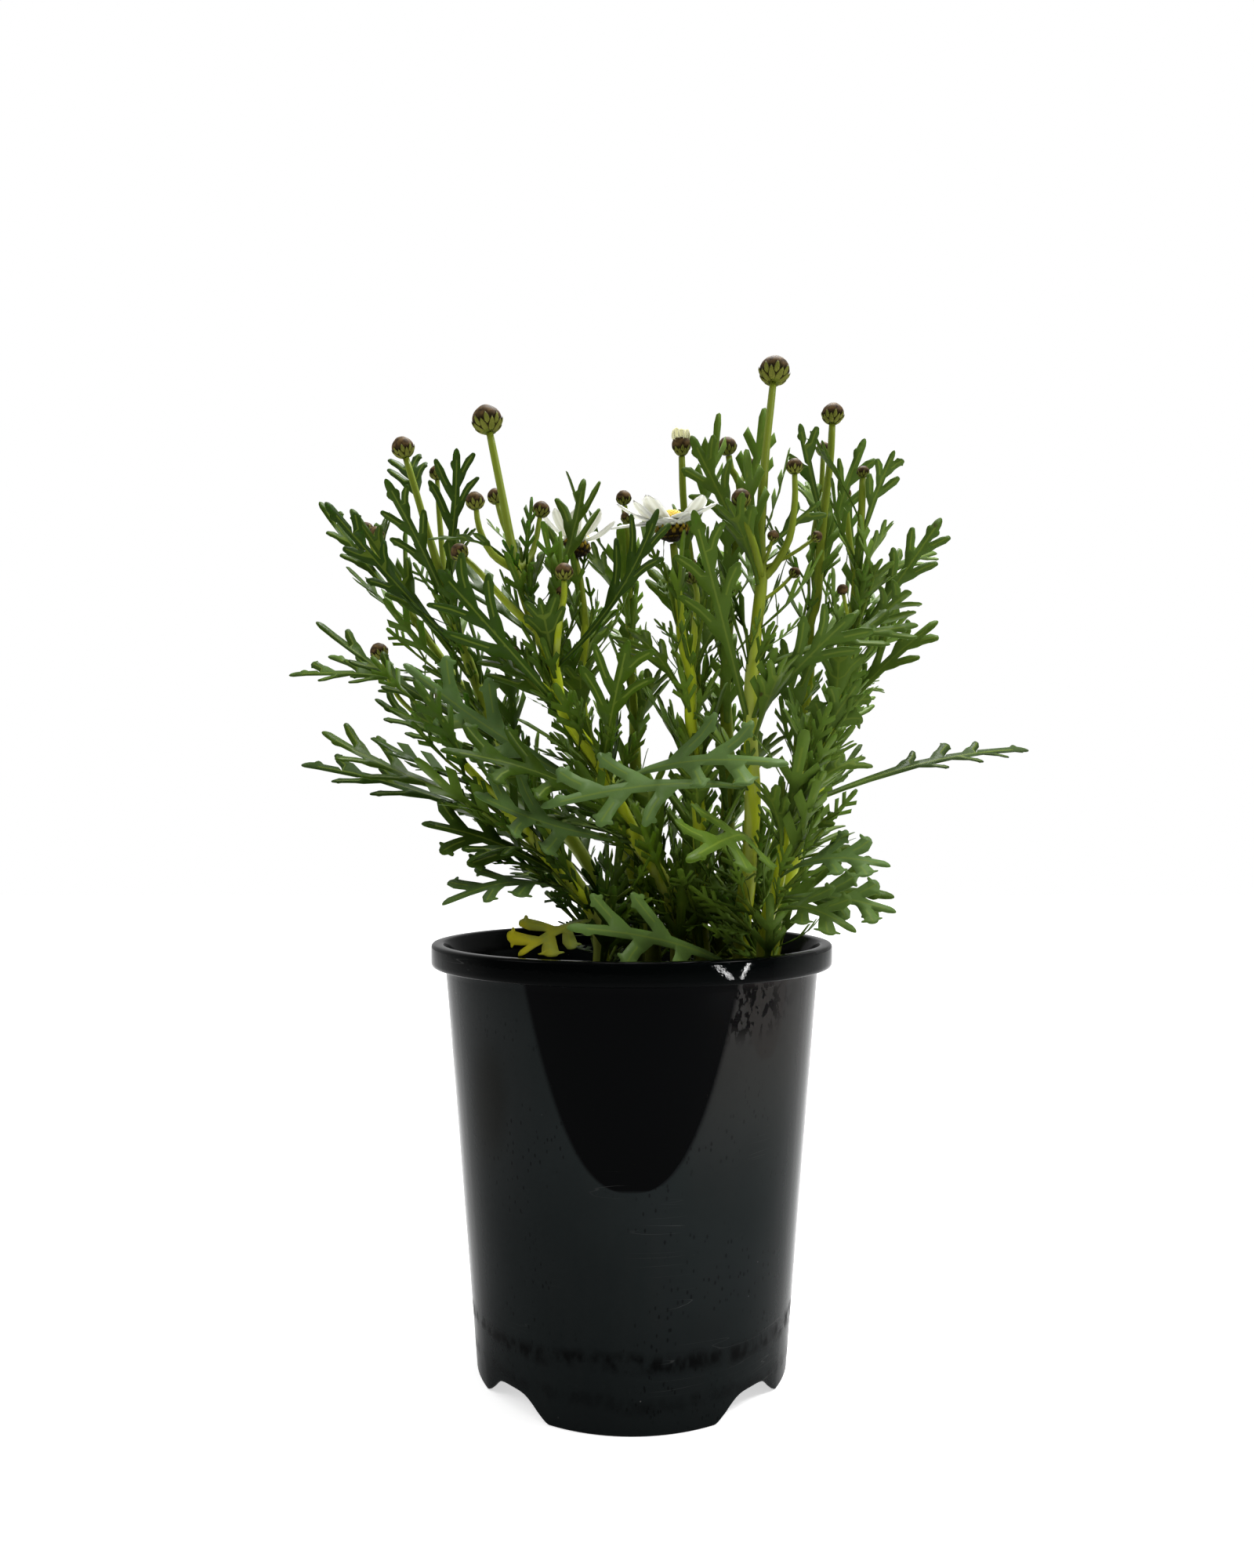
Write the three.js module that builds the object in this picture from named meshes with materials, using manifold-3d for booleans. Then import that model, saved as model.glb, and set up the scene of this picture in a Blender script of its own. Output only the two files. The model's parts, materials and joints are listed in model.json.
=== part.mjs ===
// Potted marguerite daisy. Millimetres, +Z up, the viewer stands at -Y.
// The pot's axis is the Z axis and its feet stand on z = 0.
import * as THREE from 'three';
import { mergeVertices } from 'three/addons/utils/BufferGeometryUtils.js';
import Module from 'manifold-3d';

const wasm = await Module();
wasm.setup();

// Pot: a thin moulded tub with a flat band for a rim and four feet.
const POT_HEIGHT = 142.4;
const RIM_RADIUS = 70;
const RIM_BAND = 7.5;
const RIM_INNER_EDGE = 65.8;
const WALL_TOP_RADIUS = 65.1;
const WALL_FOOT_RADIUS = 53.2;
const WALL = 1.6;
const FLOOR_BOTTOM = 8;
const FLOOR_TOP = 9.8;
const POT_SIDES = 40;
const DRAIN_HOLES = 6;
const DRAIN_RING = 32;
const DRAIN_RADIUS = 4;
// Half of one arch between two feet, as [distance from its middle, height].
const ARCH = [[16, -1], [14.4, 0.35], [11.6, 2.2], [9.2, 4.2], [6.4, 6], [3.2, 6.9]];

// Soil fills the pot, a little under the rim.
const REST = 0.3;
const SOIL_TOP = 120;
const SOIL_SIDES = 24;
const SOIL_CRUMB = 1.6;
const HOLE_DEPTH = 14;
const HOLE_PLAY = 0.4;

// Stems and their side shoots.
const STEM_SIDES = 5;
const SHOOT_SIDES = 5;
const STEM_FOOT_RADIUS = 3;
const STEM_TIP_RADIUS = 1.1;
const STEM_TAPER = 1.2;
const SHOOT_FOOT_RADIUS = 1.4;
const SHOOT_TIP_RADIUS = 0.85;
const LONGEST_STEP = 34;

// Leaves: a narrow winged rib with forward-pointing lobes.
const BLADE = 0.7;
const ROOT_HALF = 0.9;
const TIP_HALF = 1.1;
const LOBES_FROM = 0.42;
const LOBES_TO = 0.84;
const RIGHT_LOBE = 0.88;
const LOBE_SIZES = [0.8, 1, 0.9, 0.7];
// The old leaves low at the front spread broad lobes; all others sweep narrow ones forward.
// rib and half are half widths, reach is a share of the leaf's length, and ahead and aside
// give the way a lobe points.
const BROAD = { rib: 2.5, reach: 0.3, longest: 17, half: 2.1, ahead: 0.68, aside: 0.73 };
const SWEPT = { rib: 1.9, reach: 0.35, longest: 19, half: 1.4, ahead: 0.86, aside: 0.51 };
const BROAD_BELOW = 236;
const BROAD_BEFORE = -38;
const FOLD = 0.16;
const CLEAR = 0.36;
const GOLDEN_TURN = 137.5 * Math.PI / 180;
const DEGREE = Math.PI / 180;

// Flower heads.
const PETAL_THICK = 0.7;
// Each petal is [turn from the front, rise, length, half width], with angles in degrees.
const FLOWERS = {
  front: {
    up: [-0.1, -0.2, 1],
    petals: [
      [-56, 42, 14.5, 3.5], [-33, 42, 14, 3.7], [-12, 2, 13, 3.5], [18, 2, 13, 3.5],
      [44, 36, 14.5, 3.6], [68, 18, 14.5, 3.4], [98, 30, 13, 3], [126, 26, 13, 3],
      [155, 24, 12.5, 2.8], [-176, 24, 12.5, 2.9], [-147, 24, 13, 2.8], [-120, 20, 14, 2.6],
      [-105, 6, 15.5, 2.1], [-92, -4, 18, 2.1], [-78, 33, 17.5, 2.4],
    ],
  },
  back: {
    up: [0.1, 0, 1],
    petals: [
      [0, 44, 14, 2.4], [38, 47, 14, 2.4], [76, 43, 14.5, 2.3], [114, 48, 14, 2.4],
      [152, 44, 13.5, 2.3], [-150, 47, 13.5, 2.4], [-112, 45, 14, 2.4], [-74, 42, 14.5, 2.4],
      [-36, 47, 14, 2.4],
    ],
  },
};
const PETAL_FLAT = 0.2;
const HEAD_RADIUS = 5.2;
const PLATE = 2.4;
// A flower leans on its stem, so its cup starts a little higher.
const TILT_PLAY = 0.4;

// Colours by the kind of piece, found by how its name begins or ends.
const COLORS = [
  ['pot', 0x15171a], ['soil', 0x2b2119], ['petals', 0xf3f2ee], ['disc', 0xe0b21f],
  ['stem', 0x4d7a2f], ['bud', 0x6b5a2c], ['cup', 0x6b5a2c],
];

const vec = (p) => new THREE.Vector3(p[0], p[1], p[2]);

// A repeatable sequence of numbers between 0 and 1.
function dice(seed) {
  let state = seed >>> 0;
  return () => {
    state = (Math.imul(state, 1664525) + 1013904223) >>> 0;
    return state / 4294967296;
  };
}

function closed(geometry) {
  for (const name of ['normal', 'uv']) geometry.deleteAttribute(name);
  const merged = mergeVertices(geometry, 1e-4);
  return new wasm.Manifold(new wasm.Mesh({
    numProp: 3,
    vertProperties: new Float32Array(merged.attributes.position.array),
    triVerts: new Uint32Array(merged.index.array),
  }));
}

function solid(points, triangles) {
  return new wasm.Manifold(new wasm.Mesh({
    numProp: 3,
    vertProperties: new Float32Array(points.flatMap((p) => [p.x, p.y, p.z])),
    triVerts: new Uint32Array(triangles.flat()),
  }));
}

// Joins bodies that grew together, keeps the outer skin and drops loose scraps.
function grown(bodies) {
  const whole = wasm.Manifold.union(bodies).simplify(0.08);
  return whole.decompose().sort((a, b) => b.volume() - a.volume())[0];
}

function node(group, name, body, color, roughness) {
  const mesh = body.getMesh();
  const geometry = new THREE.BufferGeometry();
  geometry.setAttribute('position', new THREE.BufferAttribute(mesh.vertProperties, 3));
  geometry.setIndex(new THREE.BufferAttribute(mesh.triVerts, 1));
  geometry.computeVertexNormals();
  const material = new THREE.MeshStandardMaterial({ color, roughness });
  material.name = name;
  const result = new THREE.Mesh(geometry, material);
  result.name = name;
  group.add(result);
}

// Pot and soil.
const wallRadius = (z) =>
  WALL_FOOT_RADIUS + (WALL_TOP_RADIUS - WALL_FOOT_RADIUS) * z / (POT_HEIGHT - RIM_BAND);
const innerRadius = (z) => wallRadius(z) - WALL;

function lathe(profile, sides) {
  const shape = new THREE.LatheGeometry(profile.map(([r, z]) => new THREE.Vector2(r, z)), sides);
  return shape.rotateX(Math.PI / 2);
}

function potBody() {
  const bandBottom = POT_HEIGHT - RIM_BAND;
  const corner = 0.6;
  let pot = closed(lathe([
    [0, FLOOR_BOTTOM], [innerRadius(FLOOR_BOTTOM), FLOOR_BOTTOM], [innerRadius(0), 0],
    [WALL_FOOT_RADIUS - corner, 0], [wallRadius(1), 1], [WALL_TOP_RADIUS, bandBottom],
    [RIM_RADIUS - corner, bandBottom], [RIM_RADIUS, bandBottom + corner],
    [RIM_RADIUS, POT_HEIGHT - corner], [RIM_RADIUS - corner, POT_HEIGHT],
    [RIM_INNER_EDGE, POT_HEIGHT],
    [innerRadius(bandBottom), bandBottom + 2], [innerRadius(FLOOR_TOP), FLOOR_TOP],
    [0, FLOOR_TOP],
  ], POT_SIDES));
  const outline = new THREE.Shape([
    ...ARCH.map(([x, z]) => new THREE.Vector2(x, z)),
    ...[...ARCH].reverse().map(([x, z]) => new THREE.Vector2(-x, z)),
  ]);
  for (let quarter = 0; quarter < 4; quarter += 1) {
    const arch = new THREE.ExtrudeGeometry(outline, { depth: 25, bevelEnabled: false });
    arch.rotateX(Math.PI / 2).translate(0, 60, 0).rotateZ(Math.PI / 4 + quarter * Math.PI / 2);
    pot = pot.subtract(closed(arch));
  }
  for (let hole = 0; hole <= DRAIN_HOLES; hole += 1) {
    const turn = (hole + 0.5) * 2 * Math.PI / DRAIN_HOLES;
    const ring = hole === DRAIN_HOLES ? 0 : DRAIN_RING;
    const drill = lathe([[0, 5], [DRAIN_RADIUS, 5], [DRAIN_RADIUS, 12], [0, 12]], 8);
    drill.translate(ring * Math.cos(turn), ring * Math.sin(turn), 0);
    pot = pot.subtract(closed(drill));
  }
  return pot;
}

function soilBody(stems) {
  const rise = 1.2;
  const bottom = FLOOR_TOP + REST;
  const edge = innerRadius(SOIL_TOP - rise) - HOLE_PLAY;
  let soil = closed(lathe([
    [0, bottom], [innerRadius(bottom) - HOLE_PLAY, bottom], [edge, SOIL_TOP - rise],
    [50, SOIL_TOP], [28, SOIL_TOP], [0, SOIL_TOP],
  ], SOIL_SIDES));
  const next = dice(41);
  soil = soil.warp((v) => {
    if (v[2] > SOIL_TOP - rise / 2) v[2] += (next() - 0.7) * SOIL_CRUMB;
  });
  for (const stem of stems) {
    const [x, y] = stem.base;
    const low = SOIL_TOP - HOLE_DEPTH - REST;
    const drill = tube([vec([x, y, low]), vec([x, y, SOIL_TOP + 10])],
      () => STEM_FOOT_RADIUS + HOLE_PLAY, STEM_SIDES);
    soil = soil.subtract(drill);
  }
  return soil;
}

// A smooth line through the points, with more steps where they are far apart.
function smooth(points) {
  const line = [];
  const last = points.length - 1;
  for (let i = 0; i < last; i += 1) {
    const steps = Math.ceil(points[i].distanceTo(points[i + 1]) / LONGEST_STEP);
    for (let k = 0; k < steps; k += 1) line.push(onLine(points, i + k / steps));
  }
  line.push(points[last].clone());
  return line;
}

// The point at a position counted in spans, such as 2.5 for half way from point 2 to 3.
function onLine(points, position) {
  const last = points.length - 1;
  const i = Math.min(Math.floor(position), last - 1);
  const t = position - i;
  const b = points[i];
  const c = points[i + 1];
  const a = i > 0 ? points[i - 1] : b.clone().multiplyScalar(2).sub(c);
  const d = i + 2 <= last ? points[i + 2] : c.clone().multiplyScalar(2).sub(b);
  const part = (k) => 0.5 * (2 * b[k] + (c[k] - a[k]) * t
    + (2 * a[k] - 5 * b[k] + 4 * c[k] - d[k]) * t * t
    + (3 * b[k] - a[k] - 3 * c[k] + d[k]) * t * t * t);
  return new THREE.Vector3(part('x'), part('y'), part('z'));
}

// A closed tube along a line of points; radius(t) is asked at t from 0 to 1.
function tube(line, radius, sides) {
  const points = [];
  const triangles = [];
  let across = new THREE.Vector3(1, 0, 0);
  line.forEach((p, i) => {
    const ahead = line[Math.min(i + 1, line.length - 1)].clone()
      .sub(line[Math.max(i - 1, 0)]).normalize();
    across = across.sub(ahead.clone().multiplyScalar(across.dot(ahead))).normalize();
    const up = new THREE.Vector3().crossVectors(ahead, across);
    const r = radius(i / (line.length - 1));
    for (let k = 0; k < sides; k += 1) {
      const turn = 2 * Math.PI * k / sides;
      points.push(p.clone().addScaledVector(across, r * Math.cos(turn))
        .addScaledVector(up, r * Math.sin(turn)));
    }
    if (i === 0) return;
    const low = (i - 1) * sides;
    for (let k = 0; k < sides; k += 1) {
      const m = (k + 1) % sides;
      triangles.push([low + k, low + m, low + sides + m], [low + k, low + sides + m, low + sides + k]);
    }
  });
  const top = (line.length - 1) * sides;
  for (let k = 1; k < sides - 1; k += 1) {
    triangles.push([0, k + 1, k], [top, top + k, top + k + 1]);
  }
  return solid(points, triangles);
}

// A flat pattern of points and triangles, placed in space and given a thickness.
// place(s, w, h) turns pattern positions into space; h is the height over its middle.
function slab(pattern, triangles, place, thickness) {
  const count = pattern.length;
  const points = [];
  for (const side of [0.5, -0.5]) {
    for (const [s, w] of pattern) points.push(place(s, w, side * thickness));
  }
  const faces = [];
  const open = new Map();
  for (const [a, b, c] of triangles) {
    faces.push([a, b, c], [a + count, c + count, b + count]);
    for (const [from, to] of [[a, b], [b, c], [c, a]]) {
      if (!open.delete(`${to} ${from}`)) open.set(`${from} ${to}`, [from, to]);
    }
  }
  for (const [from, to] of open.values()) {
    faces.push([from + count, to + count, to], [from + count, to, from]);
  }
  return solid(points, faces);
}

// Turns rib positions into space. s runs from 0 at the root to 1 at the tip, w is the
// distance to the left of the rib, and h the height over the blade.
function ribFrame(root, tip, face, bow) {
  const length = root.distanceTo(tip);
  const run = tip.clone().sub(root).normalize();
  const side = new THREE.Vector3().crossVectors(face, run).normalize();
  const lift = new THREE.Vector3().crossVectors(run, side);
  const middle = root.clone().add(tip).multiplyScalar(0.5).addScaledVector(lift, 2 * bow);
  const place = (s, w, h) => {
    const p = root.clone().multiplyScalar((1 - s) * (1 - s))
      .addScaledVector(middle, 2 * s * (1 - s)).addScaledVector(tip, s * s);
    const ahead = middle.clone().sub(root).multiplyScalar(2 * (1 - s))
      .add(tip.clone().sub(middle).multiplyScalar(2 * s)).normalize();
    const over = new THREE.Vector3().crossVectors(ahead, side);
    return p.addScaledVector(side, w).addScaledVector(over, h + FOLD * Math.abs(w));
  };
  return { length, place };
}

// The cut outline of a leaf as a pattern of points and triangles. Each pair of lobes
// leaves the rib between two stations. On a blunt leaf the lobes stand by turns on the left
// and on the right, and each has two points at its tip.
function leafPattern(length, pairs, blunt, lobe, style) {
  const size = Math.min(1, length / 50);
  const half = (s) => size * (s < LOBES_FROM
    ? ROOT_HALF + (style.rib - ROOT_HALF) * (s / LOBES_FROM) ** 2
    : style.rib * (1.15 - 0.45 * s));
  const pitch = (LOBES_TO - LOBES_FROM) / pairs;
  const stations = [0, LOBES_FROM];
  const lobed = [];
  for (let k = 0; k < pairs; k += 1) {
    const from = LOBES_FROM + k * pitch;
    lobed.push(stations.length - 1);
    stations.push(from + pitch * (blunt ? 0.5 : 1));
    if (blunt) stations.push(from + pitch);
  }
  const pattern = [];
  const triangles = [];
  stations.forEach((s, i) => {
    pattern.push([s, half(s)], [s, -half(s)]);
    if (i === 0) return;
    const a = 2 * i - 2;
    triangles.push([a, a + 1, a + 3], [a, a + 3, a + 2]);
  });
  const end = pattern.length - 2;
  if (blunt) {
    pattern.push([1 - TIP_HALF / length, TIP_HALF], [1, -TIP_HALF / 2]);
    triangles.push([end, end + 1, end + 3], [end, end + 3, end + 2]);
  } else {
    pattern.push([1, 0]);
    triangles.push([end, end + 1, end + 2]);
  }
  lobed.forEach((station, k) => {
    const grow = lobe * LOBE_SIZES[pairs - 1 - k];
    for (const left of [1, -1]) {
      const reach = Math.min(style.reach * length, style.longest) * grow * (left > 0 ? 1 : RIGHT_LOBE);
      const foot = station + (blunt && left < 0 ? 1 : 0);
      const from = stations[foot];
      const to = stations[foot + 1];
      const middle = (from + to) / 2 + style.ahead * reach / length;
      const out = left * (half(to) + style.aside * reach);
      const low = 2 * foot + (left > 0 ? 0 : 1);
      const tip = pattern.length;
      if (blunt) {
        pattern.push([middle - style.half / length, out + left * style.half * 0.4]);
        pattern.push([middle + style.half / length, out - left * style.half * 0.4]);
        const lobe = [[low, low + 2, tip + 1], [low, tip + 1, tip]];
        triangles.push(...lobe.map(([a, b, c]) => (left > 0 ? [a, b, c] : [a, c, b])));
      } else {
        pattern.push([middle, out]);
        triangles.push(left > 0 ? [low, low + 2, tip] : [low, tip, low + 2]);
      }
    }
  });
  return { pattern, triangles };
}

function leafBody({ root, tip, face, pairs, bow, blunt, lobe, style }) {
  const { length, place } = ribFrame(root, tip, face, bow);
  const { pattern, triangles } = leafPattern(length, pairs, blunt, lobe, style);
  return slab(pattern, triangles, place, BLADE);
}

// A round head built from rings of points, each [height, radius] as parts of the size.
// The rings are staggered and stand proud by turns, so they form rows of scales.
function scaledHead(rings, foot, ahead, size, around, proud) {
  const side = new THREE.Vector3(0.3, 0.9, 0.1).cross(ahead).normalize();
  const up = new THREE.Vector3().crossVectors(ahead, side);
  const points = [];
  const triangles = [];
  rings.forEach(([height, wide], row) => {
    const odd = row % 2;
    const reach = wide * size * (odd ? 1 + proud : 1 - proud);
    for (let k = 0; k < around; k += 1) {
      const turn = 2 * Math.PI * (k + odd / 2) / around;
      points.push(foot.clone().addScaledVector(ahead, height * size)
        .addScaledVector(side, reach * Math.cos(turn))
        .addScaledVector(up, reach * Math.sin(turn)));
    }
    if (row === 0) return;
    for (let k = 0; k < around; k += 1) {
      const a = (row - 1) * around + k;
      const b = (row - 1) * around + (k + 1) % around;
      const [c, d] = [a + around, b + around];
      if (odd) triangles.push([a, b, c], [b, d, c]);
      else triangles.push([a, b, d], [a, d, c]);
    }
  });
  const top = (rings.length - 1) * around;
  for (let k = 1; k < around - 1; k += 1) {
    triangles.push([0, k + 1, k], [top, top + k, top + k + 1]);
  }
  return solid(points, triangles);
}

const BUD = [[0, 0.4], [0.45, 0.84], [0.95, 1.03], [1.45, 0.86], [1.85, 0.42]];
const CUP = [[0, 0.3], [0.3, 0.72], [0.62, 1.0], [0.95, 0.98]];
const DISC = [[0, 1], [0.24, 0.96], [0.46, 0.66], [0.52, 0.24]];
const TUFT = [[0, 0.5], [0.5, 0.62], [1.0, 0.5], [1.25, 0.16]];

// A daisy's white petals in two layers on the plate that carries them. Each lies flat
// under the disc's edge and then rises or droops at its own angle.
function petalsBody(centre, ahead, petals) {
  const side = new THREE.Vector3(1, 0, 0).cross(ahead).normalize();
  const up = new THREE.Vector3().crossVectors(ahead, side);
  const bodies = [tube([centre.clone(), centre.clone().addScaledVector(ahead, PLATE)],
    () => HEAD_RADIUS * 0.9, 12)];
  petals.forEach(([turned, risen, long, widest], k) => {
    const turn = turned * DEGREE;
    const rise = risen * DEGREE;
    const rows = [[0, 1.1], [PETAL_FLAT, 0.7 * widest], [0.5, widest], [0.86, 0.9 * widest]];
    const out = side.clone().multiplyScalar(Math.cos(turn)).addScaledVector(up, Math.sin(turn));
    const across = new THREE.Vector3().crossVectors(ahead, out);
    const layer = 0.8 + 1.05 * (k % 2);
    const pattern = [];
    const triangles = [];
    rows.forEach(([u, half], row) => {
      pattern.push([u, half], [u, 0], [u, -half]);
      if (row === 0) return;
      const a = 3 * row - 3;
      triangles.push([a + 1, a + 3, a], [a + 1, a + 4, a + 3]);
      triangles.push([a + 1, a + 5, a + 4], [a + 1, a + 2, a + 5]);
    });
    const end = pattern.length - 3;
    pattern.push([1, 0.3]);
    triangles.push([end, end + 1, end + 3], [end + 1, end + 2, end + 3]);
    const place = (u, w, h) => {
      const bent = Math.max(0, u - PETAL_FLAT) * long;
      return centre.clone()
        .addScaledVector(out, HEAD_RADIUS * 0.55 + u * long - bent * (1 - Math.cos(rise)))
        .addScaledVector(across, w)
        .addScaledVector(ahead, layer + h + bent * Math.sin(rise) + (w === 0 ? -0.3 : 0));
    };
    bodies.push(slab(pattern, triangles, place, PETAL_THICK));
  });
  return grown(bodies);
}

// The stems, as seen from the front. Each rises straight out of its hole at base and
// then follows path. at and from count points along the stem: 0 is its foot, 1 the
// soil and 2 the first point of path. fill spreads smaller leaves by rule.
const STEMS = [
  {
    name: 'right_main', base: [37, -12], head: { name: 'bud_right_tall', radius: 5.2 },
    path: [[38, -13, 149], [40, -16, 168], [41, -20, 191], [40, -24, 209], [40, -27, 230],
      [42, -26, 250], [44, -24, 266], [44, -22, 282], [46, -18, 307], [50, -12, 339]],
    shoots: [
      { from: 8, path: [[48, -24, 270], [53, -27, 279], [55, -27, 292], [55, -27, 301]],
        head: { name: 'bud_right_inner', radius: 2.7 } },
      { from: 8, path: [[41, -30, 275], [38, -32, 283], [37, -32, 288]],
        head: { name: 'bud_right_pair', radius: 3.2 } },
    ],
    leaves: [
      { at: 1.4, tip: [-19, -64, 152], face: [0, -0.85, 0.5], pairs: 2, bow: 7 },
      { at: 3.3, tip: [15, -90, 172], face: [0.1, -0.9, 0.4], pairs: 2, bow: 8 },
      { at: 4.2, tip: [-28, -50, 188], face: [0, -0.85, 0.5], pairs: 2, bow: 7 },
      { at: 6.2, tip: [95, -30, 249], face: [0, -0.8, 0.6], pairs: 2, bow: 3, lobe: 0.75 },
      { at: 5.4, tip: [70, -48, 249], face: [0.5, -0.7, 0.4], pairs: 2, bow: -4 },
      { at: 5.2, tip: [19, -58, 279], face: [-0.3, -0.9, 0.1], pairs: 2, bow: -2, lobe: 0.9 },
      { at: 8, tip: [21, -12, 320], face: [-0.3, -0.9, 0.2], pairs: 2, bow: -4, lobe: 0.75 },
      { at: 2.1, tip: [82, -46, 160], face: [0.1, -0.8, 0.6], pairs: 2, bow: 7 },
      { at: 8.6, tip: [65, -20, 294], face: [0.5, -0.8, 0.2], pairs: 1, bow: -2 },
    ],
    fill: { from: 2.1, to: 9.3, count: 6, length: 44, turn: 0.4 },
  },
  {
    name: 'left_main', base: [16, -5], head: { name: 'bud_left_tall', radius: 5 },
    path: [[16, -5, 148], [11, -8, 163], [2, -12, 177], [-3, -14, 187], [-12, -18, 205],
      [-23, -25, 221], [-26, -26, 235], [-32, -26, 248], [-39, -24, 269], [-44, -22, 294],
      [-49, -20, 318]],
    shoots: [
      { from: 9, path: [[-41, -30, 256], [-50, -32, 266], [-55, -32, 271]],
        head: { name: 'bud_left_low', radius: 2.9 } },
      { from: 10, path: [[-46, -34, 272], [-50, -36, 280], [-51, -36, 286]],
        head: { name: 'bud_left_pair_front', radius: 3 } },
      { from: 10, path: [[-41, -12, 279], [-46, -6, 291], [-48, -5, 298]],
        head: { name: 'bud_left_pair_back', radius: 2.9 } },
      { from: 10, path: [[-35, -18, 275], [-33, -16, 283], [-32, -15, 290]],
        head: { name: 'bud_left_inner', radius: 2.9 } },
      { from: 8, path: [[-24, -34, 248], [-22, -38, 257], [-22, -38, 262]],
        head: { name: 'bud_centre_low', radius: 2.9 } },
    ],
    leaves: [
      { at: 4, tip: [-48, -56, 192], face: [-0.1, -0.85, 0.5], pairs: 2, bow: -4 },
      { at: 5.2, tip: [-73, -42, 234], face: [-0.1, -0.85, 0.5], pairs: 2, bow: -5 },
      { at: 5.8, tip: [-1, -56, 239], face: [0, -0.95, 0.3], pairs: 2, bow: 3 },
      { at: 4.7, tip: [-58, -58, 205], face: [-0.2, -0.8, 0.6], pairs: 2, bow: 6 },
      { at: 7, tip: [-61, -48, 263], face: [-0.2, -0.95, 0.2], pairs: 2, bow: 6 },
      { at: 8, tip: [10, -40, 284], face: [-0.5, -0.8, 0.2], pairs: 2, bow: -6 },
      { at: 5.5, tip: [46, -68, 200], face: [0, -0.85, 0.5], pairs: 2, bow: 7 },
      { at: 9, tip: [-17, -8, 306], face: [-0.4, -0.8, 0.3], pairs: 2, bow: -4, lobe: 0.9 },
      { at: 10, tip: [-60, -50, 272], face: [-0.4, -0.6, 0.6], pairs: 2, bow: 4 },
    ],
    fill: { from: 2.1, to: 9.6, count: 6, length: 44, turn: 1.1 },
  },
  {
    name: 'front_flower', base: [26, -6], head: { flower: 'front' },
    path: [[24, -4, 148], [24, -9, 167], [23, -14, 189], [20, -20, 220], [20, -23, 233],
      [17, -25, 244], [16, -27, 257], [14, -28, 277]],
    shoots: [
      { from: 6, path: [[22, -14, 252], [23, -10, 264], [22, -9, 268]],
        head: { name: 'bud_centre_right_low', radius: 2.4 } },
    ],
    leaves: [{ at: 5, tip: [-1, -50, 244], face: [-0.5, -0.7, 0.4], pairs: 2, bow: -4 }],
    fill: { from: 2.0, to: 7.4, count: 6, length: 40, turn: 2.2 },
  },
  {
    name: 'back_flower', base: [8, 12], head: { flower: 'back' },
    path: [[7, 12, 147], [0, 12, 167], [-10, 10, 195], [-18, 6, 224], [-18, 5, 240],
      [-17, 4, 255], [-19, 5, 273], [-21, 6, 281]],
    shoots: [],
    leaves: [],
    fill: { from: 2.0, to: 8.2, count: 6, length: 40, turn: 0.2 },
  },
  {
    name: 'right_back', base: [48, 8], head: { name: 'bud_right_second', radius: 4 },
    path: [[53, 8, 147], [58, 10, 172], [63, 13, 220], [66, 13, 240], [66, 12, 258],
      [69, 12, 268], [71, 10, 295], [74, 10, 318], [75, 10, 333]],
    shoots: [
      { from: 7, path: [[69, 20, 289], [73, 24, 311], [74, 24, 326]],
        head: { name: 'bud_right_behind', radius: 2.7 } },
    ],
    leaves: [
      { at: 6.8, tip: [88, 14, 329], face: [0.4, -0.8, 0.2], pairs: 2, bow: -4, lobe: 0.75 },
      { at: 8, tip: [60, -8, 326], face: [-0.2, -0.9, 0.1], pairs: 1, bow: -2, lobe: 0.9 },
    ],
    fill: { from: 2.2, to: 8.4, count: 6, length: 44, turn: 1.7 },
  },
  {
    name: 'fork', base: [34, 22], head: { name: 'bud_fork_left', radius: 3.5 },
    path: [[34, 22, 146], [36, 24, 172], [37, 26, 205], [36, 26, 238], [38, 24, 271],
      [41, 20, 301], [41, 20, 314], [38, 19, 319], [37, 18, 324]],
    shoots: [
      { from: 8, path: [[43, 22, 317], [44, 23, 320]],
        head: { name: 'bud_fork_right', radius: 2.8 } },
    ],
    leaves: [],
    fill: { from: 2.2, to: 7.2, count: 6, length: 42, turn: 2.9 },
  },
  {
    name: 'opening', base: [20, 30], head: { opening: true, radius: 3.6 },
    path: [[20, 30, 145], [22, 34, 172], [24, 36, 206], [25, 34, 240], [24, 28, 272],
      [20, 20, 304], [19, 16, 323]],
    shoots: [
      { from: 6, path: [[22, 36, 279], [23, 37, 285]],
        head: { name: 'bud_centre_right_back', radius: 2.4 } },
    ],
    leaves: [],
    fill: { from: 2.2, to: 6.4, count: 5, length: 42, turn: 0.8 },
  },
  {
    name: 'far_left', base: [-10, 14], head: { name: 'bud_far_left', radius: 4.1 },
    path: [[-11, 14, 146], [-22, 16, 164], [-39, 20, 193], [-56, 24, 229], [-67, 24, 259],
      [-78, 22, 295], [-82, 20, 309], [-86, 18, 323]],
    shoots: [
      { from: 6, path: [[-73, 32, 280], [-76, 34, 305], [-77, 34, 320]],
        head: { name: 'bud_left_behind', radius: 2.9 } },
    ],
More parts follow.
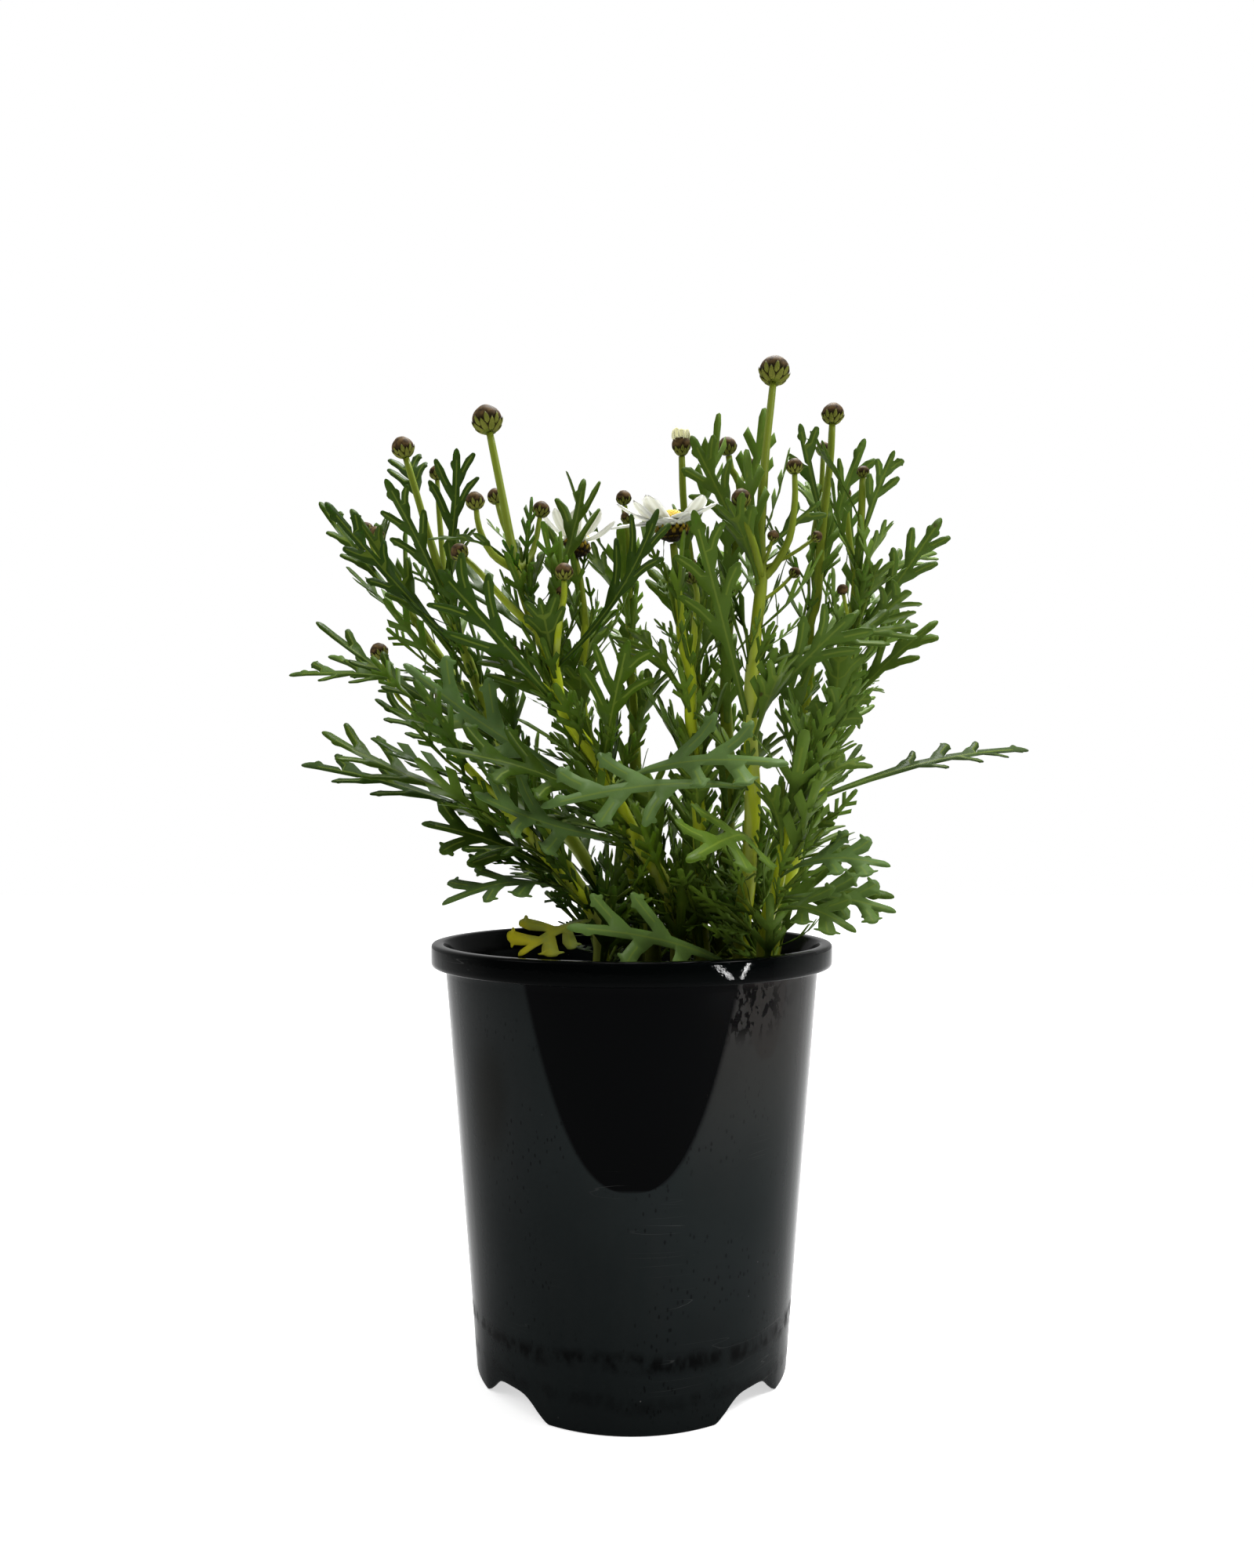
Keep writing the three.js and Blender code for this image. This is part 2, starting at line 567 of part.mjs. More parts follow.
    leaves: [
      { at: 5.6, tip: [-113, 6, 302], face: [-0.4, -0.6, 0.6], pairs: 2, bow: -3, lobe: 0.6 },
      { at: 6, tip: [-89, -2, 308], face: [-0.3, -0.8, 0.3], pairs: 2, bow: -3, lobe: 0.68 },
      { at: 5.2, tip: [-110, 30, 307], face: [-0.3, -0.6, 0.6], pairs: 2, bow: -2, lobe: 0.6 },
      { at: 6.4, tip: [-65, 8, 323], face: [-0.2, -0.9, 0.2], pairs: 2, bow: -3, lobe: 0.9 },
      { at: 4.6, tip: [-115, 4, 257], face: [-0.3, -0.6, 0.7], pairs: 2, bow: -3, lobe: 0.6 },
    ],
    fill: { from: 2.1, to: 7.6, count: 6, length: 44, turn: 2.4 },
  },
  {
    name: 'low_left', base: [-11, -18],
    path: [[-11, -19, 149], [-21, -24, 163], [-33, -28, 178], [-47, -30, 194], [-58, -32, 206]],
    shoots: [],
    leaves: [
      { at: 4.7, tip: [-104, -24, 214], face: [-0.2, -0.6, 0.8], pairs: 2, bow: -4, lobe: 0.83 },
      { at: 4, tip: [-115, -10, 204], face: [-0.2, -0.6, 0.8], pairs: 2, bow: 5, lobe: 0.75 },
      { at: 3, tip: [-67, -40, 183], face: [-0.1, -0.7, 0.7], pairs: 2, bow: 5 },
      { at: 2.9, tip: [-46, -45, 163], face: [-0.1, -0.7, 0.7], pairs: 2, bow: 3 },
      { at: 3.5, tip: [-59, -38, 168], face: [-0.1, -0.7, 0.7], pairs: 1, bow: 5 },
      { at: 2.6, tip: [-58, -52, 158], face: [0, -0.5, 0.9], pairs: 2, bow: 7, lobe: 0.75 },
      { at: 2.1, tip: [-35, -48, 142], face: [0.1, -0.6, 0.8], pairs: 2, bow: 3 },
    ],
    fill: { from: 2.0, to: 6, count: 4, length: 36, turn: 0.3 },
  },
  {
    name: 'back_left', base: [-10, 34], head: { name: 'bud_outer_left_low', radius: 3.4 },
    path: [[-9, 38, 148], [-18, 44, 169], [-41, 50, 200], [-69, 54, 239], [-91, 52, 271],
      [-102, 50, 290], [-104, 49, 299]],
    shoots: [
      { from: 7, path: [[-107, 60, 296], [-111, 62, 306]],
        head: { name: 'bud_outer_left_high', radius: 3 } },
      { from: 4, path: [[-60, 58, 212], [-79, 60, 222], [-97, 60, 237], [-104, 60, 253]],
        head: { name: 'bud_outer_left_side', radius: 3.6 } },
    ],
    leaves: [
      { at: 5, tip: [-142, 58, 246], face: [-0.1, -0.7, 0.7], pairs: 2, bow: 4, lobe: 0.6 },
      { at: 4.5, tip: [-131, 76, 257], face: [-0.1, -0.7, 0.7], pairs: 2, bow: 4, lobe: 0.68 },
      { at: 6, tip: [-130, 60, 320], face: [-0.1, -0.7, 0.6], pairs: 2, bow: -3, lobe: 0.5 },
      { at: 4.2, tip: [-101, 36, 233], face: [-0.2, -0.6, 0.7], pairs: 2, bow: -3 },
    ],
    fill: { from: 2.2, to: 7, count: 6, length: 46, turn: 1.9 },
  },
  {
    name: 'right_far', base: [49, -9], head: { name: 'bud_right_edge', radius: 2.2 },
    path: [[49, -8, 148], [57, -4, 170], [67, 0, 198], [75, 4, 227], [80, 4, 255],
      [83, 2, 284], [84, 0, 309]],
    shoots: [],
    leaves: [
      { at: 4.8, tip: [104, -22, 252], face: [0.3, -0.7, 0.6], pairs: 2, bow: 3, lobe: 0.7 },
      { at: 5.7, tip: [111, -4, 293], face: [0.4, -0.7, 0.5], pairs: 2, bow: 3, lobe: 0.65 },
      { at: 5.6, tip: [91, -36, 259], face: [0.4, -0.6, 0.6], pairs: 2, bow: 5, lobe: 0.75 },
      { at: 6.4, tip: [116, 20, 287], face: [0.3, -0.6, 0.6], pairs: 2, bow: 4, lobe: 0.5 },
      { at: 7, tip: [94, -6, 317], face: [0.4, -0.8, 0.3], pairs: 2, bow: -2, lobe: 0.75 },
      { at: 5, tip: [93, 10, 233], face: [0.3, -0.6, 0.7], pairs: 1, bow: 3, lobe: 0.75 },
      { at: 5.2, tip: [99, 0, 267], face: [0.2, -0.8, 0.5], pairs: 2, bow: 2, lobe: 0.52 },
      { at: 3, tip: [80, -15, 170], face: [0.2, -0.7, 0.6], pairs: 1, bow: 4 },
      { at: 3.1, tip: [69, -28, 187], face: [0.2, -0.8, 0.5], pairs: 1, bow: 3 },
    ],
    fill: { from: 2.1, to: 7.8, count: 4, length: 42, turn: 0.9 },
  },
  {
    name: 'right_low', base: [45, -23],
    path: [[44, -26, 147], [48, -32, 165], [51, -36, 187], [55, -38, 200]],
    shoots: [],
    leaves: [
      { at: 4, tip: [142, 0, 210], face: [0.1, -0.6, 0.8], pairs: 3, bow: 6, lobe: 0.45 },
      { at: 3, tip: [77, -62, 170], face: [0.1, -0.8, 0.6], pairs: 2, bow: 6, lobe: 0.8 },
      { at: 2.6, tip: [80, -56, 156], face: [0.1, -0.8, 0.6], pairs: 2, bow: 4, lobe: 0.8 },
      { at: 4.3, tip: [77, -30, 205], face: [0.2, -0.7, 0.6], pairs: 1, bow: 3 },
      { at: 2.2, tip: [73, -58, 151], face: [0.1, -0.75, 0.65], pairs: 2, bow: 7, lobe: 0.85 },
      { at: 4.8, tip: [73, -44, 229], face: [0.4, -0.7, 0.5], pairs: 2, bow: -4, lobe: 0.8 },
    ],
    fill: { from: 2.0, to: 5, count: 4, length: 36, turn: 1.2 },
  },
  {
    name: 'back_mid', base: [3, 46], head: { name: 'bud_centre_high', radius: 3 },
    path: [[3, 46, 144], [2, 50, 181], [1, 54, 226], [-1, 52, 265], [-1, 48, 290], [-3, 44, 313]],
    shoots: [
      { from: 6, path: [[1, 38, 294], [-1, 36, 303]],
        head: { name: 'bud_centre_high_side', radius: 2.7 } },
    ],
    leaves: [],
    fill: { from: 2.2, to: 5.8, count: 6, length: 46, turn: 0.5 },
  },
  {
    name: 'back_right', base: [37, 42], head: { name: 'bud_right_rear', radius: 2.7 },
    path: [[39, 44, 144], [57, 52, 172], [77, 60, 207], [90, 62, 244], [94, 60, 280],
      [91, 58, 302], [89, 56, 319]],
    shoots: [],
    leaves: [],
    fill: { from: 2.2, to: 7.2, count: 6, length: 46, turn: 2.6 },
  },
];

function stemPoints(stem) {
  const [x, y] = stem.base;
  return [vec([x, y, SOIL_TOP - HOLE_DEPTH]), vec([x, y, SOIL_TOP + 1]), ...stem.path.map(vec)];
}

// How far each leaf may be turned about its stem, in degrees, or shortened to stay clear.
const FILL_SEED = 100;
const SMALL_TURNS = [0, 6, -6, 12, -12, 18, -18, 26, -26, 34, -34];
const WIDE_TURNS = [0, 24, -24, 48, -48, 75, -75, 110, -110, 150, -150];
const LENGTHS = [1, 0.85, 0.7];

// The tries for one leaf, from the wished shape to ever more changed ones.
function leafTries(wish, ahead, turns) {
  const tries = [];
  for (const shrink of LENGTHS) {
    for (const turn of turns) {
      const run = wish.tip.clone().sub(wish.root).applyAxisAngle(ahead, turn * DEGREE);
      tries.push({
        ...wish,
        tip: wish.root.clone().addScaledVector(run, shrink),
        face: wish.face.clone().applyAxisAngle(ahead, turn * DEGREE),
        bow: wish.bow * shrink,
      });
    }
  }
  return tries;
}

// The leaves a stem carries by rule, spread in a spiral up the stem.
function filledLeaves(stem, points, seed) {
  const { from, to, count, length, turn } = stem.fill;
  const next = dice(seed);
  const wishes = [];
  for (let k = 0; k < count; k += 1) {
    const at = from + (to - from) * (k + 0.2 + 0.6 * next()) / count;
    const pitch = (33 + 16 * (next() - 0.5)) * DEGREE;
    const long = length * (0.85 + 0.3 * next()) * (1 - 0.3 * k / count);
    const bow = long * (0.03 + 0.08 * next());
    const around = turn + k * GOLDEN_TURN + 0.5 * (next() - 0.5);
    const ahead = onLine(points, at + 0.05).sub(onLine(points, at - 0.05)).normalize();
    const side = new THREE.Vector3(0, 1, 0).cross(ahead).normalize();
    const up = new THREE.Vector3().crossVectors(ahead, side);
    const out = side.multiplyScalar(Math.cos(around)).addScaledVector(up, Math.sin(around));
    const run = ahead.clone().multiplyScalar(Math.cos(pitch)).addScaledVector(out, Math.sin(pitch));
    const root = onLine(points, at);
    wishes.push({
      root, tip: root.clone().addScaledVector(run, long), face: ahead.clone(),
      pairs: 2, bow, blunt: false, lobe: 1, style: SWEPT, ahead,
    });
  }
  return wishes;
}

// Every body made so far with its owner, and each owner's bodies by name.
const parts = [];
const bodies = new Map();

// Whether a leaf comes too close to anything but the stem that carries it.
function blocked(body, owner) {
  const box = body.boundingBox();
  return parts.some((part) => {
    if (part.owner === owner && part.stem) return false;
    for (let k = 0; k < 3; k += 1) {
      if (part.box.min[k] > box.max[k] + CLEAR || part.box.max[k] < box.min[k] - CLEAR) return false;
    }
    return body.minGap(part.body, 2 * CLEAR) < CLEAR;
  });
}

function keep(owner, body, stem) {
  parts.push({ owner, body, stem, box: body.boundingBox() });
  if (!bodies.has(owner)) bodies.set(owner, []);
  bodies.get(owner).push(body);
}

function addHead(head, line) {
  const end = line[line.length - 1];
  const ahead = end.clone().sub(line[line.length - 2]).normalize();
  const foot = end.clone().addScaledVector(ahead, REST + (head.flower ? TILT_PLAY : 0));
  if (!head.flower) {
    const radius = head.radius;
    const around = radius > 3.3 ? 8 : 6;
    keep(head.opening ? 'bud_opening' : head.name,
      scaledHead(BUD, foot, ahead, radius, around, 0.07), false);
    if (head.opening) {
      const tip = foot.clone().addScaledVector(ahead, 1.85 * radius + REST);
      keep('bud_opening_petals', scaledHead(TUFT, tip, ahead, radius, 7, 0.2), false);
    }
    return;
  }
  const flower = FLOWERS[head.flower];
  const up = vec(flower.up).normalize();
  keep(`${head.flower}_flower_cup`, scaledHead(CUP, foot, up, HEAD_RADIUS, 10, 0.04), false);
  const ring = foot.clone().addScaledVector(up, 0.95 * HEAD_RADIUS + REST);
  keep(`${head.flower}_flower_petals`,
    petalsBody(ring, up, flower.petals), false);
  const disc = ring.clone().addScaledVector(up, PLATE + REST);
  keep(`${head.flower}_flower_disc`, scaledHead(DISC, disc, up, 4.6, 12, 0.04), false);
}

keep('pot', potBody(), false);
keep('soil', soilBody(STEMS), false);

for (const stem of STEMS) {
  const owner = `stem_${stem.name}`;
  const points = stemPoints(stem);
  const line = smooth(points);
  keep(owner, tube(line,
    (t) => STEM_FOOT_RADIUS + (STEM_TIP_RADIUS - STEM_FOOT_RADIUS) * t ** STEM_TAPER,
    STEM_SIDES), true);
  if (stem.head) addHead(stem.head, line);
  for (const shoot of stem.shoots) {
    const twig = smooth([points[shoot.from].clone(), ...shoot.path.map(vec)]);
    keep(owner, tube(twig,
      (t) => SHOOT_FOOT_RADIUS + (SHOOT_TIP_RADIUS - SHOOT_FOOT_RADIUS) * t, SHOOT_SIDES), true);
    addHead(shoot.head, twig);
  }
}

function placeLeaf(stem, wish, ahead, turns) {
  const owner = `stem_${stem.name}`;
  for (const leaf of leafTries(wish, ahead, turns)) {
    const body = leafBody(leaf);
    if (!blocked(body, owner)) {
      keep(owner, body, false);
      return;
    }
  }
}

// The large leaves first, then the smaller ones where there is room.
for (const stem of STEMS) {
  const points = stemPoints(stem);
  for (const { at, tip, face, pairs, bow, lobe = 1 } of stem.leaves) {
    const ahead = onLine(points, at + 0.05).sub(onLine(points, at - 0.05)).normalize();
    const root = onLine(points, at);
    const style = tip[1] < BROAD_BEFORE && tip[2] < BROAD_BELOW ? BROAD : SWEPT;
    placeLeaf(stem, {
      root, tip: vec(tip), face: vec(face), pairs, bow, lobe, style, blunt: true,
    }, ahead, SMALL_TURNS);
  }
}
STEMS.forEach((stem, index) => {
  for (const wish of filledLeaves(stem, stemPoints(stem), FILL_SEED + index)) {
    placeLeaf(stem, wish, wish.ahead, WIDE_TURNS);
  }
});

const plant = new THREE.Group();
plant.name = 'potted_daisy';
for (const [name, list] of bodies) {
  const [, color] = COLORS.find(([kind]) => name.endsWith(kind))
    || COLORS.find(([kind]) => name.startsWith(kind));
  node(plant, name, list.length > 1 ? grown(list) : list[0], color, name === 'pot' ? 0.3 : 0.7);
}

export default plant;
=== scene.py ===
# %% [markdown]
# # A potted marguerite daisy
# The object is a black nursery pot of soil with fourteen leafy stems, twenty-five buds, one of
# them opening, and two white flowers. The CAD model gives every piece its place and size.
# This lesson puts a finer piece over each of those solids: the same leaf, petal or bud, drawn
# with the curves and finishes that a camera would see.

import json
from math import atan2, ceil, cos, floor, hypot, pi, radians, sin, sqrt

import bmesh
import bpy
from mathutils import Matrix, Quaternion, Vector
from mathutils.geometry import delaunay_2d_cdt
from mathutils.kdtree import KDTree

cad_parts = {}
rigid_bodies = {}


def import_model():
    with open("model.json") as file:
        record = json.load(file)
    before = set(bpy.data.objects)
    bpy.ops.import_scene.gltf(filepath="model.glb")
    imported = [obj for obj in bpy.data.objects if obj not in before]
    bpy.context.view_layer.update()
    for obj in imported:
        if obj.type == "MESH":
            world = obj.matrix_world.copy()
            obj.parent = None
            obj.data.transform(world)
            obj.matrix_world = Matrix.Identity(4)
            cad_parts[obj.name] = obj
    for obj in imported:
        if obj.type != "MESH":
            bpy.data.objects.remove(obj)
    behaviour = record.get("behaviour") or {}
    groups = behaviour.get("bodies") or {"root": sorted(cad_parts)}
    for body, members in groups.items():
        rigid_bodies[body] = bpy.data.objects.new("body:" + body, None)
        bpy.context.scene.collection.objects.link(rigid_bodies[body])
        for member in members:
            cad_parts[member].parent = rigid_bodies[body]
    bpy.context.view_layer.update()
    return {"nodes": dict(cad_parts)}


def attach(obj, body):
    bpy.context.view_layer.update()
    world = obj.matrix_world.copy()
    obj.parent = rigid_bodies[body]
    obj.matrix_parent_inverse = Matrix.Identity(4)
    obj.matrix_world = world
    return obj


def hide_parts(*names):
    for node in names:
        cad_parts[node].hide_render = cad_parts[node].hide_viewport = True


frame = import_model()
print("CAD nodes:", len(frame["nodes"]))

# %% [markdown]
# Sizes of the plant and its pot are in millimetres, as on a workshop drawing, and are turned
# into metres when a mesh is made. The camera, the lamps and the patterns of a finish are in
# metres, as Blender counts. A simple chain of pseudo-random numbers gives the same plant at
# every run.

# %% Helpers for meshes and repeatable chance
MM = 0.001


def repeatable(seed):
    """A function that gives the next number between 0 and 1 of a fixed sequence."""
    state = [seed % 2**32]

    def following():
        state[0] = (state[0] * 1664525 + 1013904223) % 2**32
        return state[0] / 2**32
    return following


def store(mesh, name, values):
    """Keeps one number or one vector for each point of a mesh."""
    is_vector = isinstance(values[0], Vector)
    kind, field = ("FLOAT_VECTOR", "vector") if is_vector else ("FLOAT", "value")
    flat = [part for value in values for part in value] if is_vector else values
    mesh.attributes.new(name, kind, "POINT").data.foreach_set(field, flat)


class Heap:
    """Points, faces and named numbers per point that become one mesh."""

    def __init__(self):
        self.points, self.faces, self.numbers = [], [], {}

    def add(self, points, faces, **numbers):
        first = len(self.points)
        self.points += [tuple(p) for p in points]
        self.faces += [tuple(first + k for k in face) for face in faces]
        for key, values in numbers.items():
            if not isinstance(values, list):
                values = [values] * len(points)
            self.numbers.setdefault(key, []).extend(values)

    def mesh(self, name):
        mesh = bpy.data.meshes.new(name)
        mesh.from_pydata([(x * MM, y * MM, z * MM) for x, y, z in self.points], [], self.faces)
        mesh.polygons.foreach_set("use_smooth", [True] * len(mesh.polygons))
        for key, values in self.numbers.items():
            store(mesh, key, values)
        return mesh


def show(name, mesh, finish):
    """Puts a mesh in the scene at the origin with one finish."""
    piece = bpy.data.objects.new(name, mesh)
    bpy.context.scene.collection.objects.link(piece)
    mesh.materials.clear()
    mesh.materials.append(finish)
    return piece


def settle(piece, slot, *nodes):
    """Says which body carries the piece, and hides the CAD nodes it stands for; slot is not used."""
    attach(piece, "root")
    if nodes:
        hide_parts(*nodes)


# %% [markdown]
# Finishes, the light of the room and the growth of leaves are all trees of small nodes. The
# first helper adds a node, sets its options, fills its inputs and hands back one output, so
# that a tree reads like a list of sums. A helper that is given an output finds its tree there.

# %% Helpers for nodes
def fill(socket, value):
    """Connects an input to an output or gives it a value; a colour leaves out its alpha."""
    if isinstance(value, bpy.types.NodeSocket):
        socket.id_data.links.new(value, socket)
    else:
        socket.default_value = (*value, 1) if socket.type == "RGBA" else value


def plug(tree, kind, inputs=None, output=0, **settings):
    """Adds a node to a tree and returns one of its outputs."""
    made = tree.nodes.new(kind)
    for key, value in settings.items():
        setattr(made, key, value)
    for key, value in (inputs or {}).items():
        fill(made.inputs[key], value)
    return made.outputs[output]


def sums(how, *values):
    """One step of arithmetic on outputs and plain numbers."""
    tree = next(value.id_data for value in values if isinstance(value, bpy.types.NodeSocket))
    return plug(tree, "ShaderNodeMath", dict(enumerate(values)), operation=how)


def times(first, second):
    return sums("MULTIPLY", first, second)


def apart(value, middle):
    """How far a value is from the middle, on either side."""
    return sums("ABSOLUTE", sums("SUBTRACT", value, middle))


def ramp(value, low, high, out_low=0.0, out_high=1.0, bend="SMOOTHSTEP"):
    """Goes from out_low to out_high while the value goes from low to high."""
    return plug(value.id_data, "ShaderNodeMapRange", {
        "Value": value, "From Min": low, "From Max": high, "To Min": out_low, "To Max": out_high},
        interpolation_type=bend)


def axes(place):
    return plug(place.id_data, "ShaderNodeSeparateXYZ", {0: place}).node.outputs


# %% [markdown]
# The camera stands where the photographer stood: 379 mm in front of the pot's axis, a little
# above the rim, and tilted up by three degrees. Three broad lamps give the light of a room
# with windows. Two slim lamps on the right, just below the height of the rim, lean towards
# each other. They light the pot alone, and their mirror images are the pair of pale strokes
# on its rim. The camera doesn't see the lamps themselves.

# %% Camera and lights
camera_data = bpy.data.cameras.new("camera")
camera_data.lens = 24.35
camera_data.shift_x = -0.003
camera_data.clip_start = 0.01
camera = bpy.data.objects.new("camera", camera_data)
camera.location = (0, -0.379, 0.1781)
camera.rotation_euler = (radians(92.98), 0, 0)
bpy.context.scene.collection.objects.link(camera)
bpy.context.scene.camera = camera
bpy.context.scene.view_settings.view_transform = "Standard"
print("camera at", tuple(camera.location))


def soft_light(name, place, target, power, wide, tall, lean=0, spread=180):
    """A lamp with a flat face that looks at a target; lean and spread are in degrees."""
    data = bpy.data.lights.new(name, "AREA")
    data.shape = "RECTANGLE"
    data.size = wide
    data.size_y = tall
    data.energy = power
    data.spread = radians(spread)
    lamp = bpy.data.objects.new(name, data)
    lamp.location = place
    aim = (Vector(target) - Vector(place)).to_track_quat("-Z", "Y")
    lamp.rotation_euler = (aim @ Quaternion((0, 0, 1), radians(lean))).to_euler()
    lamp.visible_camera = False
    bpy.context.scene.collection.objects.link(lamp)
    return lamp


soft_light("sky", (0.15, 0.35, 1.3), (0, 0, 0.25), 33, 0.6, 0.6)
soft_light("window_left", (-0.9, -0.3, 0.9), (0, 0, 0.2), 3, 0.5, 0.5)
soft_light("window_right", (0.75, -0.25, 1.0), (0, 0, 0.25), 9, 0.3, 0.3)
pot_only = bpy.data.collections.new("pot_only")
SLIM, NARROW_BEAM = 0.014, 20
for lamp in (
        soft_light("slim_lamp_left", (0.492, -0.447, 0.112), (0.025, -0.065, 0.139),
                   0.062, SLIM, 0.16, 48, NARROW_BEAM),
        soft_light("slim_lamp_right", (0.573, -0.329, 0.112), (0.036, -0.060, 0.139),
                   0.049, SLIM, 0.126, -34, NARROW_BEAM)):
    lamp.light_linking.receiver_collection = pot_only

# %% [markdown]
# The plant stands before a white sheet in a room that is bright above and behind it and dim
# behind the photographer, so the black pot has something dark to mirror. The room is only a
# brightness for each direction, which costs less than walls would. Camera rays see it plain
# white, as on a picture of goods for sale, and the floor glows enough to look white too.

# %% Room and floor
world = bpy.data.worlds.new("room")
world.use_nodes = True
room = world.node_tree
_, towards_back, upwards = axes(plug(room, "ShaderNodeTexCoord", output="Generated"))
behind = ramp(towards_back, -0.8, 0.6, 0.06, 0.5, "LINEAR")
above = ramp(upwards, 0.2, 0.9, 0, 0.7, "LINEAR")
seen = plug(room, "ShaderNodeLightPath", output="Is Camera Ray")
light = room.nodes["Background"].inputs
fill(light["Color"], (1, 1, 1))
fill(light["Strength"], sums("MAXIMUM", sums("ADD", behind, above), seen))
bpy.context.scene.world = world


def new_finish(name):
    """A material, the inputs of its shader and its tree."""
    finish = bpy.data.materials.new(name)
    finish.use_nodes = True
    return finish, finish.node_tree.nodes["Principled BSDF"].inputs, finish.node_tree


def dress(shader, colour, roughness, relief=None, shine=0.5, glow=None):
    """Fills a finish. Relief is its strength, depth and height, glow the light under the skin."""
    fill(shader["Base Color"], colour)
    fill(shader["Roughness"], roughness)
    fill(shader["Specular IOR Level"], shine)
    if relief:
        inputs = dict(zip(("Strength", "Distance", "Height"), relief))
        fill(shader["Normal"], plug(relief[2].id_data, "ShaderNodeBump", inputs))
    if glow:
        for key, value in zip(("Weight", "Radius", "Scale"), glow):
            fill(shader["Subsurface " + key], value)


pale_floor, shader, tree = new_finish("pale_floor")
dress(shader, (0.8, 0.8, 0.8), 0.9, shine=0)
fill(shader["Emission Color"], (1, 1, 1))
seen = plug(tree, "ShaderNodeLightPath", output="Is Camera Ray")
fill(shader["Emission Strength"], ramp(seen, 0, 1, 0.15, 0.6, "LINEAR"))
HALF_FLOOR = 3000
sheet = Heap()
sheet.add([(x * HALF_FLOOR, y * HALF_FLOOR, 0) for x, y in ((-1, -1), (1, -1), (1, 1), (-1, 1))],
          [(0, 1, 2, 3)])
show("floor", sheet.mesh("floor"), pale_floor)
print("floor:", 2 * HALF_FLOOR, "mm wide")

# %% [markdown]
# A finish could be painted on by hand or copied from a photograph. Here each one is worked
# out from noise and from the place of a point on the object, so it has no seams and fits any
# piece. These helpers give the patterns that the finishes share, and lay one coat of colour
# over another.

# %% Helpers for finishes
def on_object(tree):
    """Where a point lies on the object."""
    return plug(tree, "ShaderNodeTexCoord", output="Object")


def number(tree, name):
    """A number that the mesh keeps for each of its points."""
    return plug(tree, "ShaderNodeAttribute", output="Fac", attribute_name=name)


def stretched(place, stretch):
    return plug(place.id_data, "ShaderNodeMapping", {"Vector": place, "Scale": stretch})


def noise(place, scale, detail=4, stretch=(1, 1, 1)):
    return plug(place.id_data, "ShaderNodeTexNoise", {"Vector": stretched(place, stretch), "Scale": scale,
                                                      "Detail": detail})


def dots(place, scale):
    """The distance to the nearest of many scattered points."""
    return plug(place.id_data, "ShaderNodeTexVoronoi", {"Vector": place, "Scale": scale})


def blend(share, first, second):
    return plug(share.id_data, "ShaderNodeMix", {0: share, 6: first, 7: second}, output=2, data_type="RGBA")


def coats(colour, *layers):
    """Lays one coat after another over a colour; each is how much of it shows, and its colour."""
    for share, coat in layers:
        colour = blend(share, colour, coat)
    return colour


# %% [markdown]
# The pot is moulded from black plastic, glossy but not clean. Its colour carries a painted
# reflection: grey on its flanks, and dark in a U that hangs from the rim in the middle of its
# front and in a smaller U on the right. Two water marks run round near the foot. One shader
# holds it all. Noise on the object's own coordinates places the painted reflection and the
# marks, and a bump from fine noise roughens the surface a little. The roughness rises where
# the painted grey is and where the marks are.

# %% Black plastic
black_plastic, shader, tree = new_finish("black_plastic")
place = on_object(tree)
x, y, z = axes(place)
front = ramp(y, -0.015, -0.03)
blotch_noise = noise(place, 22, 5)
UNDER_RIM = 0.134


def hanging_patch(middle, low, half_width, soft):
    """A U that hangs from the rim: 1 inside and 0 outside."""
    rise = ramp(z, low, UNDER_RIM, bend="LINEAR")
    reach = times(sums("POWER", rise, 0.4), half_width)
    inside = ramp(sums("SUBTRACT", apart(x, middle), reach), soft, -soft)
    inside = times(inside, ramp(z, low - 0.0005, low + 0.001))
    return times(inside, front)


def round_patch(middle_x, middle_z, wide, tall, soft):
    """A soft round patch on the front of the wall, uneven at its edge."""
    aside = sums("DIVIDE", sums("SUBTRACT", x, middle_x), wide)
    rise = sums("DIVIDE", sums("SUBTRACT", z, middle_z), tall)
    far = plug(tree, "ShaderNodeCombineXYZ", {0: aside, 1: rise})
    far = plug(tree, "ShaderNodeVectorMath", {0: far}, output="Value", operation="LENGTH")
    far = sums("MULTIPLY_ADD", blotch_noise, 0.5, far)
    return times(ramp(far, 1.25 + soft, 1.25 - soft), front)


rim = ramp(z, 0.1343, 0.1352)
# Painted reflection: two dark U-shaped patches hang from the rim, one in the middle of the front and a
# smaller one on the right. A darker round patch lies on the left.
dark_reflection = hanging_patch(0, 0.0735, 0.0325, 0.0009)
dark_reflection_aside = hanging_patch(0.0415, 0.110, 0.0075, 0.0008)
dark_patch_left = round_patch(-0.045, 0.095, 0.006, 0.018, 0.5)
# The painted grey reflection is faint low on the wall and strongest high on the right, beside the dark U.
high = ramp(z, 0.055, 0.13)
grey = blend(times(high, ramp(x, 0.008, 0.026)), (0.0074, 0.0095, 0.0096), (0.0125, 0.0122, 0.0114))
grey = blend(times(high, ramp(x, -0.02, -0.05)), grey, (0.0105, 0.0120, 0.0120))
reflection_film = ramp(blotch_noise, 0.25, 0.8, 0.7, 1)
streaks = ramp(noise(place, 120, 4, (1, 1, 0.12)), 0.45, 0.75)
# Dried splashes: black flecks high on the right, fine upright pits lower down.
flecks = ramp(noise(place, 420, 4, (1, 1, 0.55)), 0.50, 0.54)
splash = times(flecks, round_patch(0.034, 0.127, 0.013, 0.009, 0.45))
pits = ramp(dots(stretched(place, (1, 1, 0.45)), 620), 0.24, 0.14)
pitted = times(pits, ramp(noise(place, 45, 3), 0.45, 0.62))
